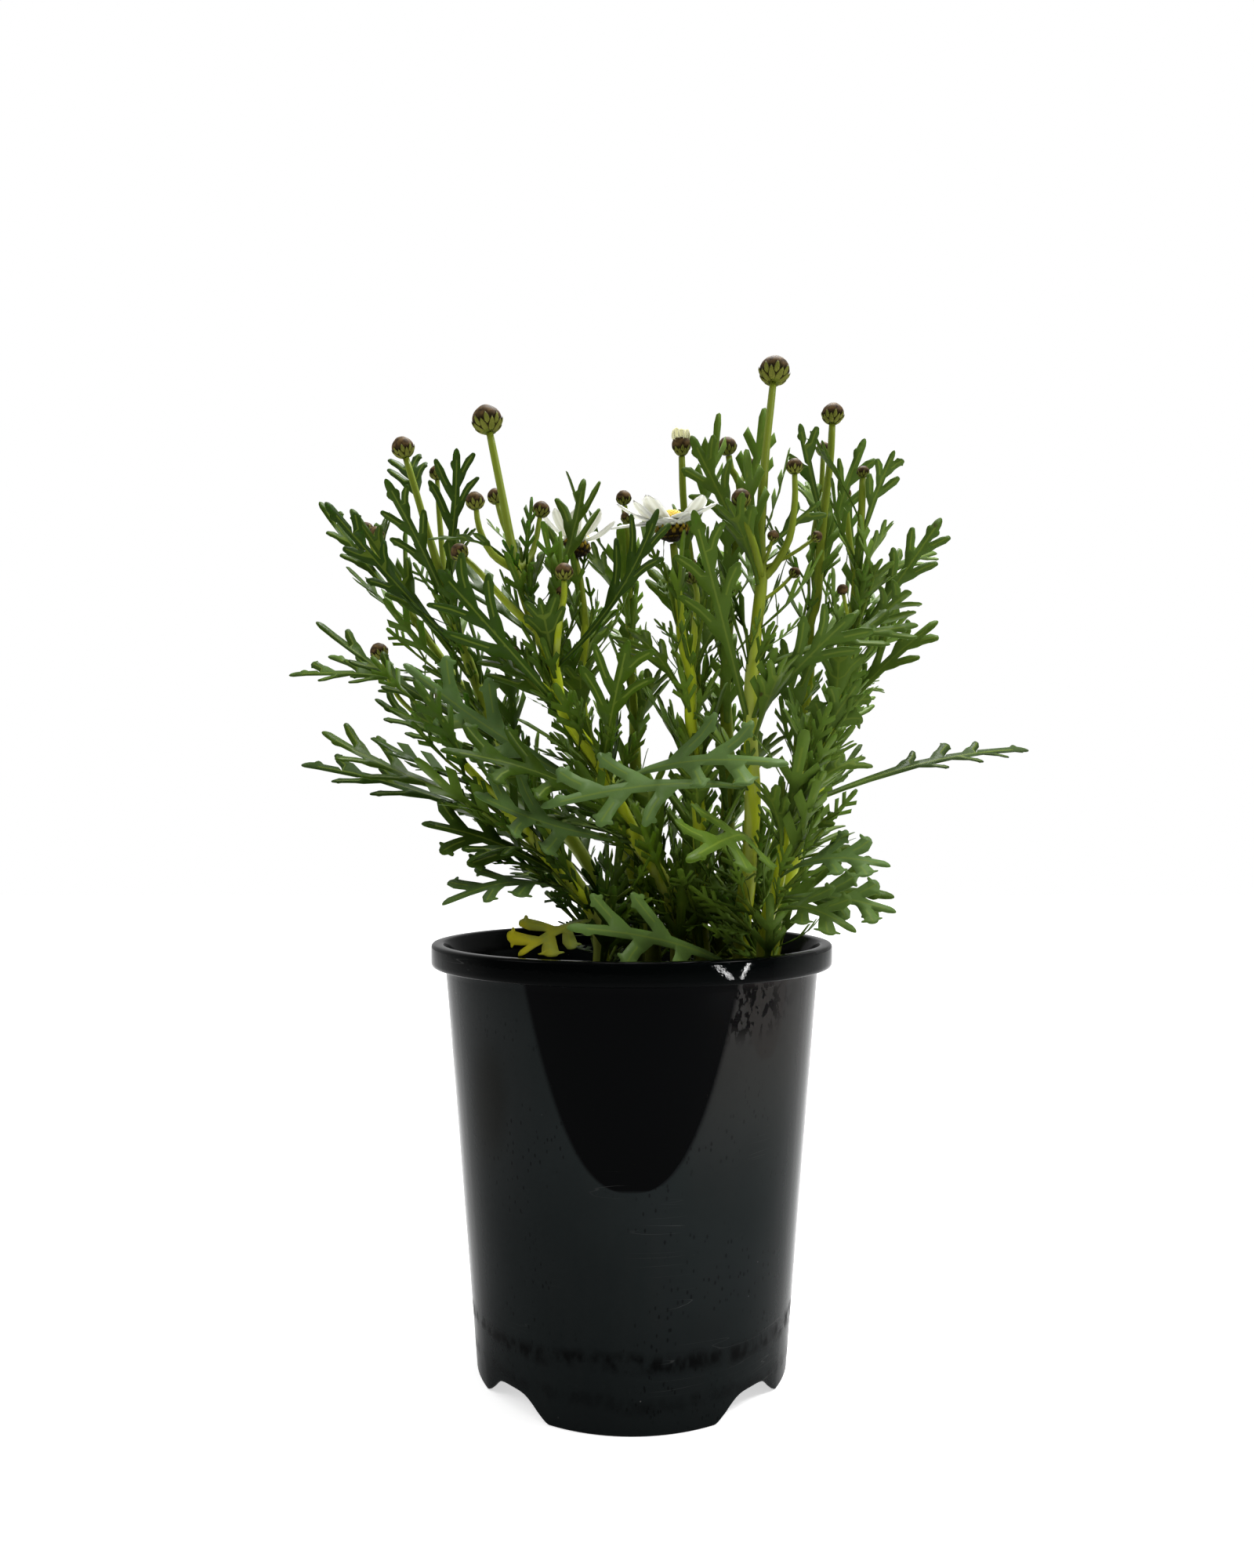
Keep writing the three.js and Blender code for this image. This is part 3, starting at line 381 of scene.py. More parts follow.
# Water marks: two uneven bands near the foot, broken into short streaks.
wander = sums("MULTIPLY_ADD", noise(place, 30, 4), 0.010, z)
low_mark = ramp(apart(wander, 0.0145), 0.0036, 0.0005, 0, 0.5)
high_mark = ramp(apart(wander, 0.0268), 0.0046, 0.0006)
broken = ramp(noise(place, 330, 5, (1, 1, 0.5)), 0.36, 0.64, 0.1, 0.95)
mark = times(sums("MAXIMUM", low_mark, high_mark), broken)
# The rim has been handled: it is clean and black, with a grey painted reflection at both ends.
ends = times(ramp(sums("ABSOLUTE", x), 0.040, 0.068), reflection_film)
rim_black_and_reflection = blend(ends, (0.0004, 0.0006, 0.0006), (0.0105, 0.0110, 0.0108))
# A few pale scratches and specks of dust.
scratch = ramp(apart(noise(place, 38, 1, (0.35, 0.35, 7)), 0.5), 0.004, 0.001)
scratch = times(scratch, ramp(noise(place, 26, 2), 0.56, 0.66))
speck = times(ramp(dots(place, 150), 0.05, 0.03), ramp(noise(place, 60, 2), 0.5, 0.6))
# The colour coat by coat: the painted grey reflection, dust streaks, the dark painted reflections, the
# darker patch, splashes and pits, water marks, the rim, scratches and specks.
dust_and_reflection = coats(
    (0.0010, 0.0013, 0.0014), (reflection_film, grey), (times(streaks, 0.12), (0.012, 0.012, 0.0115)),
    (times(dark_reflection_aside, 0.75), (0.0085, 0.0078, 0.0070)),
    (times(dark_patch_left, 0.7), (0.0040, 0.0042, 0.0032)), (dark_reflection, (0.0002, 0.0003, 0.0004)),
    (sums("MAXIMUM", splash, times(pitted, 0.6)), (0.0003, 0.0003, 0.0003)),
    (mark, (0.0010, 0.0012, 0.0012)), (rim, rim_black_and_reflection),
    (sums("MAXIMUM", times(scratch, 0.35), speck), (0.060, 0.060, 0.058)))
gloss = sums("ADD", ramp(blotch_noise, 0.3, 0.8, 0.14, 0.24), times(mark, 0.3))
gloss = times(gloss, sums("SUBTRACT", 1, times(rim, 0.82)))
dress(shader, dust_and_reflection, gloss, (0.08, 0.0003, noise(place, 900, 3)), 0.016)
print("finish:", black_plastic.name)

# %% [markdown]
# The pot's wall is one closed skin: a profile turned about the axis, out and up the wall, over
# the flat rim and down the inside. A lathe tool would need its four arches cut out afterwards,
# which leaves ragged faces. Here each upright column of the skin starts at its own height
# instead, so the arches are part of the wall and keep a rounded edge.

# %% Pot
RIM_BOTTOM, WALL = 134.9, 1.6
FOOT_RADIUS, SHOULDER_RADIUS = 53.2, 65.1
# Half an arch, from its foot to its crown: the distance from its middle and the height there.
# The arches are drawn on a flat that stands ARCH_PLANE from the axis. Above LEVEL the skin
# takes no notice of them.
ARCH = [(15.6, 0), (15.2, 0.04), (14.7, 0.2), (14.0, 0.55), (13.2, 1.05), (12.4, 1.62),
        (11.5, 2.27), (10.6, 3.0), (9.7, 3.78), (8.8, 4.5), (7.8, 5.2), (6.7, 5.85), (5.4, 6.4),
        (3.8, 6.75), (2, 6.88), (0, 6.9)]
ARCH_PLANE, LEVEL, FOOT_STEPS = 51.5, 20, 20
# The raised floor is a plate with a ring of six drain holes and one more in the middle.
FLOOR_RADIUS, FLOOR_TOP, FLOOR_BOTTOM = 52.6, 9.8, 8
DRAIN_RING, DRAIN_RADIUS = 32, 4


def wall_radius(z):
    return FOOT_RADIUS + (SHOULDER_RADIUS - FOOT_RADIUS) * z / RIM_BOTTOM


def pot_columns():
    """Turns about the axis, each with the height where the wall starts there."""
    columns = []
    half = [(atan2(x, ARCH_PLANE), z) for x, z in ARCH]
    reach = half[0][0]
    for quarter in range(4):
        middle = pi / 4 + quarter * pi / 2
        columns += [(middle - turn, z) for turn, z in half]
        columns += [(middle + turn, z) for turn, z in half[-2::-1]]
        gap = pi / 2 - 2 * reach
        columns += [(middle + reach + gap * k / FOOT_STEPS, 0) for k in range(1, FOOT_STEPS)]
    return columns


def pot_profile():
    """The closed outline of the wall as (radius, height)."""
    outside = [0.5, 1.2, 2.4, 4, 7, 11, 16, 22, 30, 40, 52, 64, 76, 88, 100, 110, 120, 128, 132]
    inside = [133, 128, 122, 114, 100, 80, 60, 40, 24, 14, 9, 5, 2.4, 0.5]
    rim = [(65.02, 134.2), (65.2, 134.75), (65.7, 134.9), (68.9, 134.9), (69.6, 135.05),
           (69.93, 135.5), (70, 136.2), (70, 136.6), (70, 141.2), (69.9, 141.8), (69.5, 142.25),
           (68.9, 142.4), (66.5, 142.4), (66.0, 142.25), (65.7, 141.8), (65.2, 140.4),
           (64.1, 137.5), (63.6, 136)]
    inner = FOOT_RADIUS - WALL
    edge = [(inner + 0.15, 0.15), (inner + 0.5, 0), (FOOT_RADIUS - 0.5, 0), (FOOT_RADIUS - 0.15, 0.15)]
    return ([(wall_radius(z), z) for z in outside] + rim
            + [(wall_radius(z) - WALL, z) for z in inside] + edge)


def pot_wall(heap):
    columns, profile = pot_columns(), pot_profile()
    points = []
    for turn, low in columns:
        for r, z in profile:
            z = low + z * (LEVEL - low) / LEVEL if z < LEVEL else z
            points.append((r * cos(turn), r * sin(turn), z))
    rows = len(profile)
    faces = []
    for i in range(len(columns)):
        a, b = i * rows, (i + 1) % len(columns) * rows
        faces += [(a + j, b + j, b + (j + 1) % rows, a + (j + 1) % rows) for j in range(rows)]
    heap.add(points, faces)


def circle(x, y, r, count):
    return [(x + r * cos(2 * pi * k / count), y + r * sin(2 * pi * k / count)) for k in range(count)]


def open_sides(faces):
    """The sides that only one face has, in the order that the face runs along them."""
    sides = {(a, b) for face in faces for a, b in zip(face, face[1:] + face[:1])}
    return [(a, b) for a, b in sorted(sides) if (b, a) not in sides]


def two_skins(faces, count):
    """Faces for a plate: one skin, its mirror image count points on, and the edge between."""
    back = [tuple(count + k for k in reversed(face)) for face in faces]
    return faces + back + [(count + a, count + b, b, a) for a, b in open_sides(faces)]


def pot_floor(heap):
    holes = [(DRAIN_RING * cos((k + 0.5) * pi / 3), DRAIN_RING * sin((k + 0.5) * pi / 3)) for k in range(6)]
    holes.append((0, 0))
    loops = [circle(0, 0, FLOOR_RADIUS, 96)] + [circle(x, y, DRAIN_RADIUS, 20) for x, y in holes]
    flat, edges = [], []
    for loop in loops:
        first = len(flat)
        edges += [(first + k, first + (k + 1) % len(loop)) for k in range(len(loop))]
        flat += [Vector(p) for p in loop]
    flat, _, triangles = delaunay_2d_cdt(flat, edges, [], 1, 1e-4)[:3]
    kept = []
    for face in triangles:
        middle = sum((flat[k] for k in face), Vector((0, 0))) / 3
        if all(hypot(middle.x - x, middle.y - y) > DRAIN_RADIUS - 0.1 for x, y in holes):
            kept.append(tuple(face))
    points = [(x, y, height) for height in (FLOOR_TOP, FLOOR_BOTTOM) for x, y in flat]
    heap.add(points, two_skins(kept, len(flat)))


pot_heap = Heap()
pot_wall(pot_heap)
pot_floor(pot_heap)
pot = show("pot_shell", pot_heap.mesh("pot_shell"), black_plastic)
pot.data.set_sharp_from_angle(angle=radians(50))
settle(pot, "pot", "pot")
pot_only.objects.link(pot)
print("pot faces:", len(pot.data.polygons))

# %% [markdown]
# Every stem is a line of points, the same ones as in the CAD source, with its side shoots,
# its large leaves and a rule for smaller ones. The lines are smoothed so that they pass
# through each point. A daisy's stem is ribbed, so the tube's section is a circle with six low
# ridges. Its thickness wavers a little on the way up, and a number on each point says how
# young the wood is, for the colour.

# %% Stem lines
# Each stem has its name, the place of its foot, its bud or flower as (name, radius), with
# radius 0 for a flower, and its path. A side shoot is (the point where it leaves, its path, its
# bud). A large leaf is (where it leaves, tip, the way its upper side looks, pairs of lobes, how
# far it bows, size of its lobes). Small leaves fill the stem: (from, to, how many, length, first
# turn about the stem). Places along a stem are counted in its points.
FOOT_HEIGHTS = (106, 121)
STEMS = [
    dict(name="right_main", base=(37, -12), head=("bud_right_tall", 5.2), path=[
        (38, -13, 149), (40, -16, 168), (41, -20, 191), (40, -24, 209), (40, -27, 230),
        (42, -26, 250), (44, -24, 266), (44, -22, 282), (46, -18, 307), (50, -12, 339),
    ], shoots=[
        (8, [(48, -24, 270), (53, -27, 279), (55, -27, 292), (55, -27, 301)], ("bud_right_inner", 2.7)),
        (8, [(41, -30, 275), (38, -32, 283), (37, -32, 288)], ("bud_right_pair", 3.2)),
    ], leaves=[
        (1.4, (-19, -64, 152), (0, -0.85, 0.5), 2, 7, 1),
        (3.3, (15, -90, 172), (0.1, -0.9, 0.4), 2, 8, 1),
        (4.2, (-28, -50, 188), (0, -0.85, 0.5), 2, 7, 1),
        (6.2, (95, -30, 249), (0, -0.8, 0.6), 2, 3, 0.75),
        (5.4, (70, -48, 249), (0.5, -0.7, 0.4), 2, -4, 1),
        (5.2, (19, -58, 279), (-0.3, -0.9, 0.1), 2, -2, 0.9),
        (8, (21, -12, 320), (-0.3, -0.9, 0.2), 2, -4, 0.75),
        (2.1, (82, -46, 160), (0.1, -0.8, 0.6), 2, 7, 1),
        (8.6, (65, -20, 294), (0.5, -0.8, 0.2), 1, -2, 1),
    ], fill=(2.1, 9.3, 6, 44, 0.4)),
    dict(name="left_main", base=(16, -5), head=("bud_left_tall", 5), path=[
        (16, -5, 148), (11, -8, 163), (2, -12, 177), (-3, -14, 187), (-12, -18, 205),
        (-23, -25, 221), (-26, -26, 235), (-32, -26, 248), (-39, -24, 269), (-44, -22, 294),
        (-49, -20, 318),
    ], shoots=[
        (9, [(-41, -30, 256), (-50, -32, 266), (-55, -32, 271)], ("bud_left_low", 2.9)),
        (10, [(-46, -34, 272), (-50, -36, 280), (-51, -36, 286)], ("bud_left_pair_front", 3)),
        (10, [(-41, -12, 279), (-46, -6, 291), (-48, -5, 298)], ("bud_left_pair_back", 2.9)),
        (10, [(-35, -18, 275), (-33, -16, 283), (-32, -15, 290)], ("bud_left_inner", 2.9)),
        (8, [(-24, -34, 248), (-22, -38, 257), (-22, -38, 262)], ("bud_centre_low", 2.9)),
    ], leaves=[
        (4, (-48, -56, 192), (-0.1, -0.85, 0.5), 2, -4, 1),
        (5.2, (-73, -42, 234), (-0.1, -0.85, 0.5), 2, -5, 1),
        (5.8, (-1, -56, 239), (0, -0.95, 0.3), 2, 3, 1),
        (4.7, (-58, -58, 205), (-0.2, -0.8, 0.6), 2, 6, 1),
        (7, (-61, -48, 263), (-0.2, -0.95, 0.2), 2, 6, 1),
        (8, (10, -40, 284), (-0.5, -0.8, 0.2), 2, -6, 1),
        (5.5, (46, -68, 200), (0, -0.85, 0.5), 2, 7, 1),
        (9, (-17, -8, 306), (-0.4, -0.8, 0.3), 2, -4, 0.9),
        (10, (-60, -50, 272), (-0.4, -0.6, 0.6), 2, 4, 1),
    ], fill=(2.1, 9.6, 6, 44, 1.1)),
    dict(name="front_flower", base=(26, -6), head=("front", 0), path=[
        (24, -4, 148), (24, -9, 167), (23, -14, 189), (20, -20, 220), (20, -23, 233),
        (17, -25, 244), (16, -27, 257), (14, -28, 277),
    ], shoots=[
        (6, [(22, -14, 252), (23, -10, 264), (22, -9, 268)], ("bud_centre_right_low", 2.4)),
    ], leaves=[
        (5, (-1, -50, 244), (-0.5, -0.7, 0.4), 2, -4, 1),
    ], fill=(2.0, 7.4, 6, 40, 2.2)),
    dict(name="back_flower", base=(8, 12), head=("back", 0), path=[
        (7, 12, 147), (0, 12, 167), (-10, 10, 195), (-18, 6, 224), (-18, 5, 240), (-17, 4, 255),
        (-19, 5, 273), (-21, 6, 281),
    ], shoots=[], leaves=[], fill=(2.0, 8.2, 6, 40, 0.2)),
    dict(name="right_back", base=(48, 8), head=("bud_right_second", 4), path=[
        (53, 8, 147), (58, 10, 172), (63, 13, 220), (66, 13, 240), (66, 12, 258), (69, 12, 268),
        (71, 10, 295), (74, 10, 318), (75, 10, 333),
    ], shoots=[
        (7, [(69, 20, 289), (73, 24, 311), (74, 24, 326)], ("bud_right_behind", 2.7)),
    ], leaves=[
        (6.8, (88, 14, 329), (0.4, -0.8, 0.2), 2, -4, 0.75),
        (8, (60, -8, 326), (-0.2, -0.9, 0.1), 1, -2, 0.9),
    ], fill=(2.2, 8.4, 6, 44, 1.7)),
    dict(name="fork", base=(34, 22), head=("bud_fork_left", 3.5), path=[
        (34, 22, 146), (36, 24, 172), (37, 26, 205), (36, 26, 238), (38, 24, 271), (41, 20, 301),
        (41, 20, 314), (38, 19, 319), (37, 18, 324),
    ], shoots=[
        (8, [(43, 22, 317), (44, 23, 320)], ("bud_fork_right", 2.8)),
    ], leaves=[], fill=(2.2, 7.2, 6, 42, 2.9)),
    dict(name="opening", base=(20, 30), head=("bud_opening", 3.6), path=[
        (20, 30, 145), (22, 34, 172), (24, 36, 206), (25, 34, 240), (24, 28, 272), (20, 20, 304),
        (19, 16, 323),
    ], shoots=[
        (6, [(22, 36, 279), (23, 37, 285)], ("bud_centre_right_back", 2.4)),
    ], leaves=[], fill=(2.2, 6.4, 5, 42, 0.8)),
    dict(name="far_left", base=(-10, 14), head=("bud_far_left", 4.1), path=[
        (-11, 14, 146), (-22, 16, 164), (-39, 20, 193), (-56, 24, 229), (-67, 24, 259),
        (-78, 22, 295), (-82, 20, 309), (-86, 18, 323),
    ], shoots=[
        (6, [(-73, 32, 280), (-76, 34, 305), (-77, 34, 320)], ("bud_left_behind", 2.9)),
    ], leaves=[
        (5.6, (-113, 6, 302), (-0.4, -0.6, 0.6), 2, -3, 0.6),
        (6, (-89, -2, 308), (-0.3, -0.8, 0.3), 2, -3, 0.68),
        (5.2, (-110, 30, 307), (-0.3, -0.6, 0.6), 2, -2, 0.6),
        (6.4, (-65, 8, 323), (-0.2, -0.9, 0.2), 2, -3, 0.9),
        (4.6, (-115, 4, 257), (-0.3, -0.6, 0.7), 2, -3, 0.6),
    ], fill=(2.1, 7.6, 6, 44, 2.4)),
    dict(name="low_left", base=(-11, -18), head=None, path=[
        (-11, -19, 149), (-21, -24, 163), (-33, -28, 178), (-47, -30, 194), (-58, -32, 206),
    ], shoots=[], leaves=[
        (4.7, (-104, -24, 214), (-0.2, -0.6, 0.8), 2, -4, 0.83),
        (4, (-115, -10, 204), (-0.2, -0.6, 0.8), 2, 5, 0.75),
        (3, (-67, -40, 183), (-0.1, -0.7, 0.7), 2, 5, 1),
        (2.9, (-46, -45, 163), (-0.1, -0.7, 0.7), 2, 3, 1),
        (3.5, (-59, -38, 168), (-0.1, -0.7, 0.7), 1, 5, 1),
        (2.6, (-58, -52, 158), (0, -0.5, 0.9), 2, 7, 0.75),
        (2.1, (-35, -48, 142), (0.1, -0.6, 0.8), 2, 3, 1),
    ], fill=(2.0, 6, 4, 36, 0.3)),
    dict(name="back_left", base=(-10, 34), head=("bud_outer_left_low", 3.4), path=[
        (-9, 38, 148), (-18, 44, 169), (-41, 50, 200), (-69, 54, 239), (-91, 52, 271),
        (-102, 50, 290), (-104, 49, 299),
    ], shoots=[
        (7, [(-107, 60, 296), (-111, 62, 306)], ("bud_outer_left_high", 3)),
        (4, [(-60, 58, 212), (-79, 60, 222), (-97, 60, 237), (-104, 60, 253)],
            ("bud_outer_left_side", 3.6)),
    ], leaves=[
        (5, (-142, 58, 246), (-0.1, -0.7, 0.7), 2, 4, 0.6),
        (4.5, (-131, 76, 257), (-0.1, -0.7, 0.7), 2, 4, 0.68),
        (6, (-130, 60, 320), (-0.1, -0.7, 0.6), 2, -3, 0.5),
        (4.2, (-101, 36, 233), (-0.2, -0.6, 0.7), 2, -3, 1),
    ], fill=(2.2, 7, 6, 46, 1.9)),
    dict(name="right_far", base=(49, -9), head=("bud_right_edge", 2.2), path=[
        (49, -8, 148), (57, -4, 170), (67, 0, 198), (75, 4, 227), (80, 4, 255), (83, 2, 284),
        (84, 0, 309),
    ], shoots=[], leaves=[
        (4.8, (104, -22, 252), (0.3, -0.7, 0.6), 2, 3, 0.7),
        (5.7, (111, -4, 293), (0.4, -0.7, 0.5), 2, 3, 0.65),
        (5.6, (91, -36, 259), (0.4, -0.6, 0.6), 2, 5, 0.75),
        (6.4, (116, 20, 287), (0.3, -0.6, 0.6), 2, 4, 0.5),
        (7, (94, -6, 317), (0.4, -0.8, 0.3), 2, -2, 0.75),
        (5, (93, 10, 233), (0.3, -0.6, 0.7), 1, 3, 0.75),
        (5.2, (99, 0, 267), (0.2, -0.8, 0.5), 2, 2, 0.52),
        (3, (80, -15, 170), (0.2, -0.7, 0.6), 1, 4, 1),
        (3.1, (69, -28, 187), (0.2, -0.8, 0.5), 1, 3, 1),
    ], fill=(2.1, 7.8, 4, 42, 0.9)),
    dict(name="right_low", base=(45, -23), head=None, path=[
        (44, -26, 147), (48, -32, 165), (51, -36, 187), (55, -38, 200),
    ], shoots=[], leaves=[
        (4, (142, 0, 210), (0.1, -0.6, 0.8), 3, 6, 0.45),
        (3, (77, -62, 170), (0.1, -0.8, 0.6), 2, 6, 0.8),
        (2.6, (80, -56, 156), (0.1, -0.8, 0.6), 2, 4, 0.8),
        (4.3, (77, -30, 205), (0.2, -0.7, 0.6), 1, 3, 1),
        (2.2, (73, -58, 151), (0.1, -0.75, 0.65), 2, 7, 0.85),
        (4.8, (73, -44, 229), (0.4, -0.7, 0.5), 2, -4, 0.8),
    ], fill=(2.0, 5, 4, 36, 1.2)),
    dict(name="back_mid", base=(3, 46), head=("bud_centre_high", 3), path=[
        (3, 46, 144), (2, 50, 181), (1, 54, 226), (-1, 52, 265), (-1, 48, 290), (-3, 44, 313),
    ], shoots=[
        (6, [(1, 38, 294), (-1, 36, 303)], ("bud_centre_high_side", 2.7)),
    ], leaves=[], fill=(2.2, 5.8, 6, 46, 0.5)),
    dict(name="back_right", base=(37, 42), head=("bud_right_rear", 2.7), path=[
        (39, 44, 144), (57, 52, 172), (77, 60, 207), (90, 62, 244), (94, 60, 280), (91, 58, 302),
        (89, 56, 319),
    ], shoots=[], leaves=[], fill=(2.2, 7.2, 6, 46, 2.6)),
]


def on_line(points, position):
    """The point at a position counted in spans along a smooth line."""
    last = len(points) - 1
    i = min(floor(position), last - 1)
    t = position - i
    b, c = points[i], points[i + 1]
    a = points[i - 1] if i > 0 else 2 * b - c
    d = points[i + 2] if i + 2 <= last else 2 * c - b
    return 0.5 * (2 * b + (c - a) * t + (2 * a - 5 * b + 4 * c - d) * t * t
                  + (3 * b - a - 3 * c + d) * t ** 3)


def smooth(points, step):
    line = []
    for i in range(len(points) - 1):
        steps = ceil((points[i] - points[i + 1]).length / step)
        line += [on_line(points, i + k / steps) for k in range(steps)]
    return line + [points[-1].copy()]


def stem_points(stem):
    x, y = stem["base"]
    return [Vector((x, y, z)) for z in FOOT_HEIGHTS] + [Vector(p) for p in stem["path"]]


def shoot_points(stem, shoot):
    return [stem_points(stem)[shoot[0]]] + [Vector(p) for p in shoot[1]]


def head_frame(points):
    """Where a bud starts and which way it looks, found on the coarse line of the CAD source."""
    *_, before, end = smooth(points, 34)
    return end, (end - before).normalized()


def ring_faces(low, high, count):
    """Faces between two rings of points that start at low and high."""
    return [(low + k, low + (k + 1) % count, high + (k + 1) % count, high + k) for k in range(count)]


def stalk(heap, line, radius, young, around=14, ridges=6, depth=0.07):
    """A ribbed tube along a line; radius and young are asked at 0 to 1 along it."""
    points, faces, age = [], [], []
    across = Vector((1, 0, 0))
    last = len(line) - 1
    for i, p in enumerate(line):
        ahead = (line[min(i + 1, last)] - line[max(i - 1, 0)]).normalized()
        across = (across - ahead * across.dot(ahead)).normalized()
        up = ahead.cross(across)
        for k in range(around):
            turn = 2 * pi * k / around
            r = radius(i / last) * (1 + depth * cos(ridges * turn))
            points.append(p + across * (r * cos(turn)) + up * (r * sin(turn)))
            age.append(young(i / last))
        if i:
            faces += ring_faces((i - 1) * around, i * around, around)
    faces.append(tuple(range(around))[::-1])
    faces.append(tuple(last * around + k for k in range(around)))
    heap.add(points, faces, young=age)


def lerp(a, b, t):
    return a + (b - a) * t


print("stems:", len(STEMS), "side shoots:", sum(len(s["shoots"]) for s in STEMS))

# %% [markdown]
# Leaves are dark green, paler below and when they are young, with a light line along the
# middle of each lobe, some brown spots and, low on the left, a yellow leaf. The broad old
# leaves in front carry a grey bloom and a painted sheen. Painted shade darkens the leaves on
# the left and the low ones on both sides, and painted light makes those on the right paler.
# The colours depend on numbers kept on the mesh: the distance to the nearest vein, a tone
# for each leaf, and its upper or lower side. A little scattering under the skin lets light
# glow through.

# %% Leaf finish
leaf_green, shader, tree = new_finish("leaf_green")
place = on_object(tree)
across, depth, height = axes(place)
tone, vein, under, young = (number(tree, key) for key in ("tone", "vein", "under", "young"))
patches = ramp(noise(place, 90, 3), 0.3, 0.7)
# Masks for painted shade on the low leaves on the right and on the left.
low_right = times(ramp(across, 0.070, 0.095), ramp(height, 0.225, 0.215))
low_left = times(ramp(across, 0.02, -0.02), ramp(height, 0.21, 0.15))
low_left = times(low_left, ramp(depth, -0.055, -0.035, 0, 0.75))
spots = times(ramp(dots(place, 95), 0.13, 0.06), ramp(noise(place, 25, 2), 0.58, 0.66))
yellowed = ramp(sums("MULTIPLY_ADD", patches, 0.3, tone), 1.5, 1.8)
yellowed = times(yellowed, ramp(across, -0.010, -0.040, 0.1, 1))
green = coats(
    blend(tone, (0.012, 0.030, 0.003), (0.042, 0.072, 0.005)),
    (times(patches, 0.25), (0.045, 0.085, 0.010)),
    (times(young, 0.7), (0.092, 0.155, 0.006)),
    (times(under, 0.35), (0.066, 0.110, 0.012)),
    # Painted shade: the leaves on the left are darker and bluer than those within the plant.
    (times(ramp(across, 0.01, -0.055), 0.4), (0.009, 0.026, 0.004)),
    # Painted light: the leaves on the right are paler.
    (ramp(across, 0.0, 0.05, 0, 0.4), (0.084, 0.140, 0.024)),
    # Painted shade on the low leaves on the right.
    (times(low_right, 0.8), (0.014, 0.028, 0.004)),
    # Deeper painted shade on the low leaves on the left.
    (low_left, (0.004, 0.013, 0.001)),
    # Then the grey bloom with its painted sheen, the veins, the brown spots and the yellow.
    (ramp(tone, 0.9, 1.3, 0, 0.6), (0.088, 0.150, 0.050)),
    (ramp(vein, 0.45, 0.1, 0, 0.45), (0.125, 0.170, 0.020)),
    (times(spots, 0.8), (0.035, 0.020, 0.008)),
    (yellowed, (0.30, 0.27, 0.008)))
dress(shader, green, ramp(patches, 0, 1, 0.34, 0.5), (0.25, 0.0002, noise(place, 1500, 3)), 0.04,
      (0.03, (0.4, 0.9, 0.15), 0.0012))

# %% [markdown]
# Stems are yellow-green with paler streaks. They could take the leaves' finish, but in the
# photograph they stand out from the leaves, they turn dull under the buds, and painted shade
# darkens them near the soil, so they have their own.

# %% Stem finish
stem_green, shader, tree = new_finish("stem_green")
place = on_object(tree)
_, depth, height = axes(place)
streaks = noise(place, 260, 3, (1, 1, 0.06))
green = coats(
    blend(number(tree, "young"), (0.285, 0.330, 0.010), (0.310, 0.375, 0.012)),
    (ramp(streaks, 0.45, 0.7, 0, 0.6), (0.34, 0.39, 0.100)),
    # The stems at the back and the bare stalks under the buds are duller; painted shade darkens the feet.
    (ramp(depth, -0.012, 0.025, 0, 0.85), (0.090, 0.125, 0.010)),
    (ramp(height, 0.235, 0.275, 0, 0.95), (0.115, 0.150, 0.012)),
    # Painted shade near the soil.
    (ramp(height, 0.165, 0.125, 0, 0.8), (0.040, 0.050, 0.008)))
dress(shader, green, 0.45, (0.3, 0.0003, streaks), 0.07, (0.12, (0.5, 0.9, 0.2), 0.0015))
print("finishes:", leaf_green.name, stem_green.name)

# %% [markdown]
# A leaf is a narrow winged rib with lobes that point forward and end in small teeth. It is
# drawn flat first, as one outline with a line down the middle of the rib and of each lobe,
# filled with triangles, and then bent along its rib. The edge stays thin and the middle
# swells, as on the fleshy leaves of this daisy, so no edge is paper thin or square.

# %% The outline of a leaf
# Lobes grow along this stretch of the rib; their sizes are counted from the tip. A leaf
# shorter than FULL_LENGTH has a thinner rib.
LOBES_FROM, LOBES_TO, FULL_LENGTH = 0.42, 0.84, 50
LOBE_SIZES = (0.8, 1, 0.9)
# Two kinds of leaf: half width of the rib, a lobe's share of the leaf's length, its longest,
# its half width, and its way ahead and aside.
BROAD, SWEPT = (2.5, 0.3, 17, 2.1, 0.68, 0.73), (1.9, 0.35, 19, 1.4, 0.86, 0.51)


def rib_half(s, length, style):
    """Half the width of the rib at s, from 0 at the foot of the leaf to 1 at its tip."""
    size = min(1, length / FULL_LENGTH)
    if s < LOBES_FROM:
        return size * (0.9 + (style[0] - 0.9) * (s / LOBES_FROM) ** 2)
    return size * style[0] * (1.15 - 0.45 * s)


def lobe_places(length, pairs, blunt, lobe, style, side):
    """For each lobe on one side: its two places on the rib, its tip and its reach."""
    pitch = (LOBES_TO - LOBES_FROM) / pairs
    _, share, longest, _, forward, aside = style
    for k in range(pairs):
        low = LOBES_FROM + k * pitch + (pitch * 0.5 if blunt and side < 0 else 0)
        high = low + pitch * (0.5 if blunt else 1)
        reach = min(share * length, longest) * lobe * LOBE_SIZES[pairs - 1 - k] * (1 if side > 0 else 0.88)
        middle, half = (low + high) / 2 * length, rib_half(high, length, style)
        tip = Vector((middle + forward * reach, half + aside * reach))
        yield low * length, high * length, tip, reach


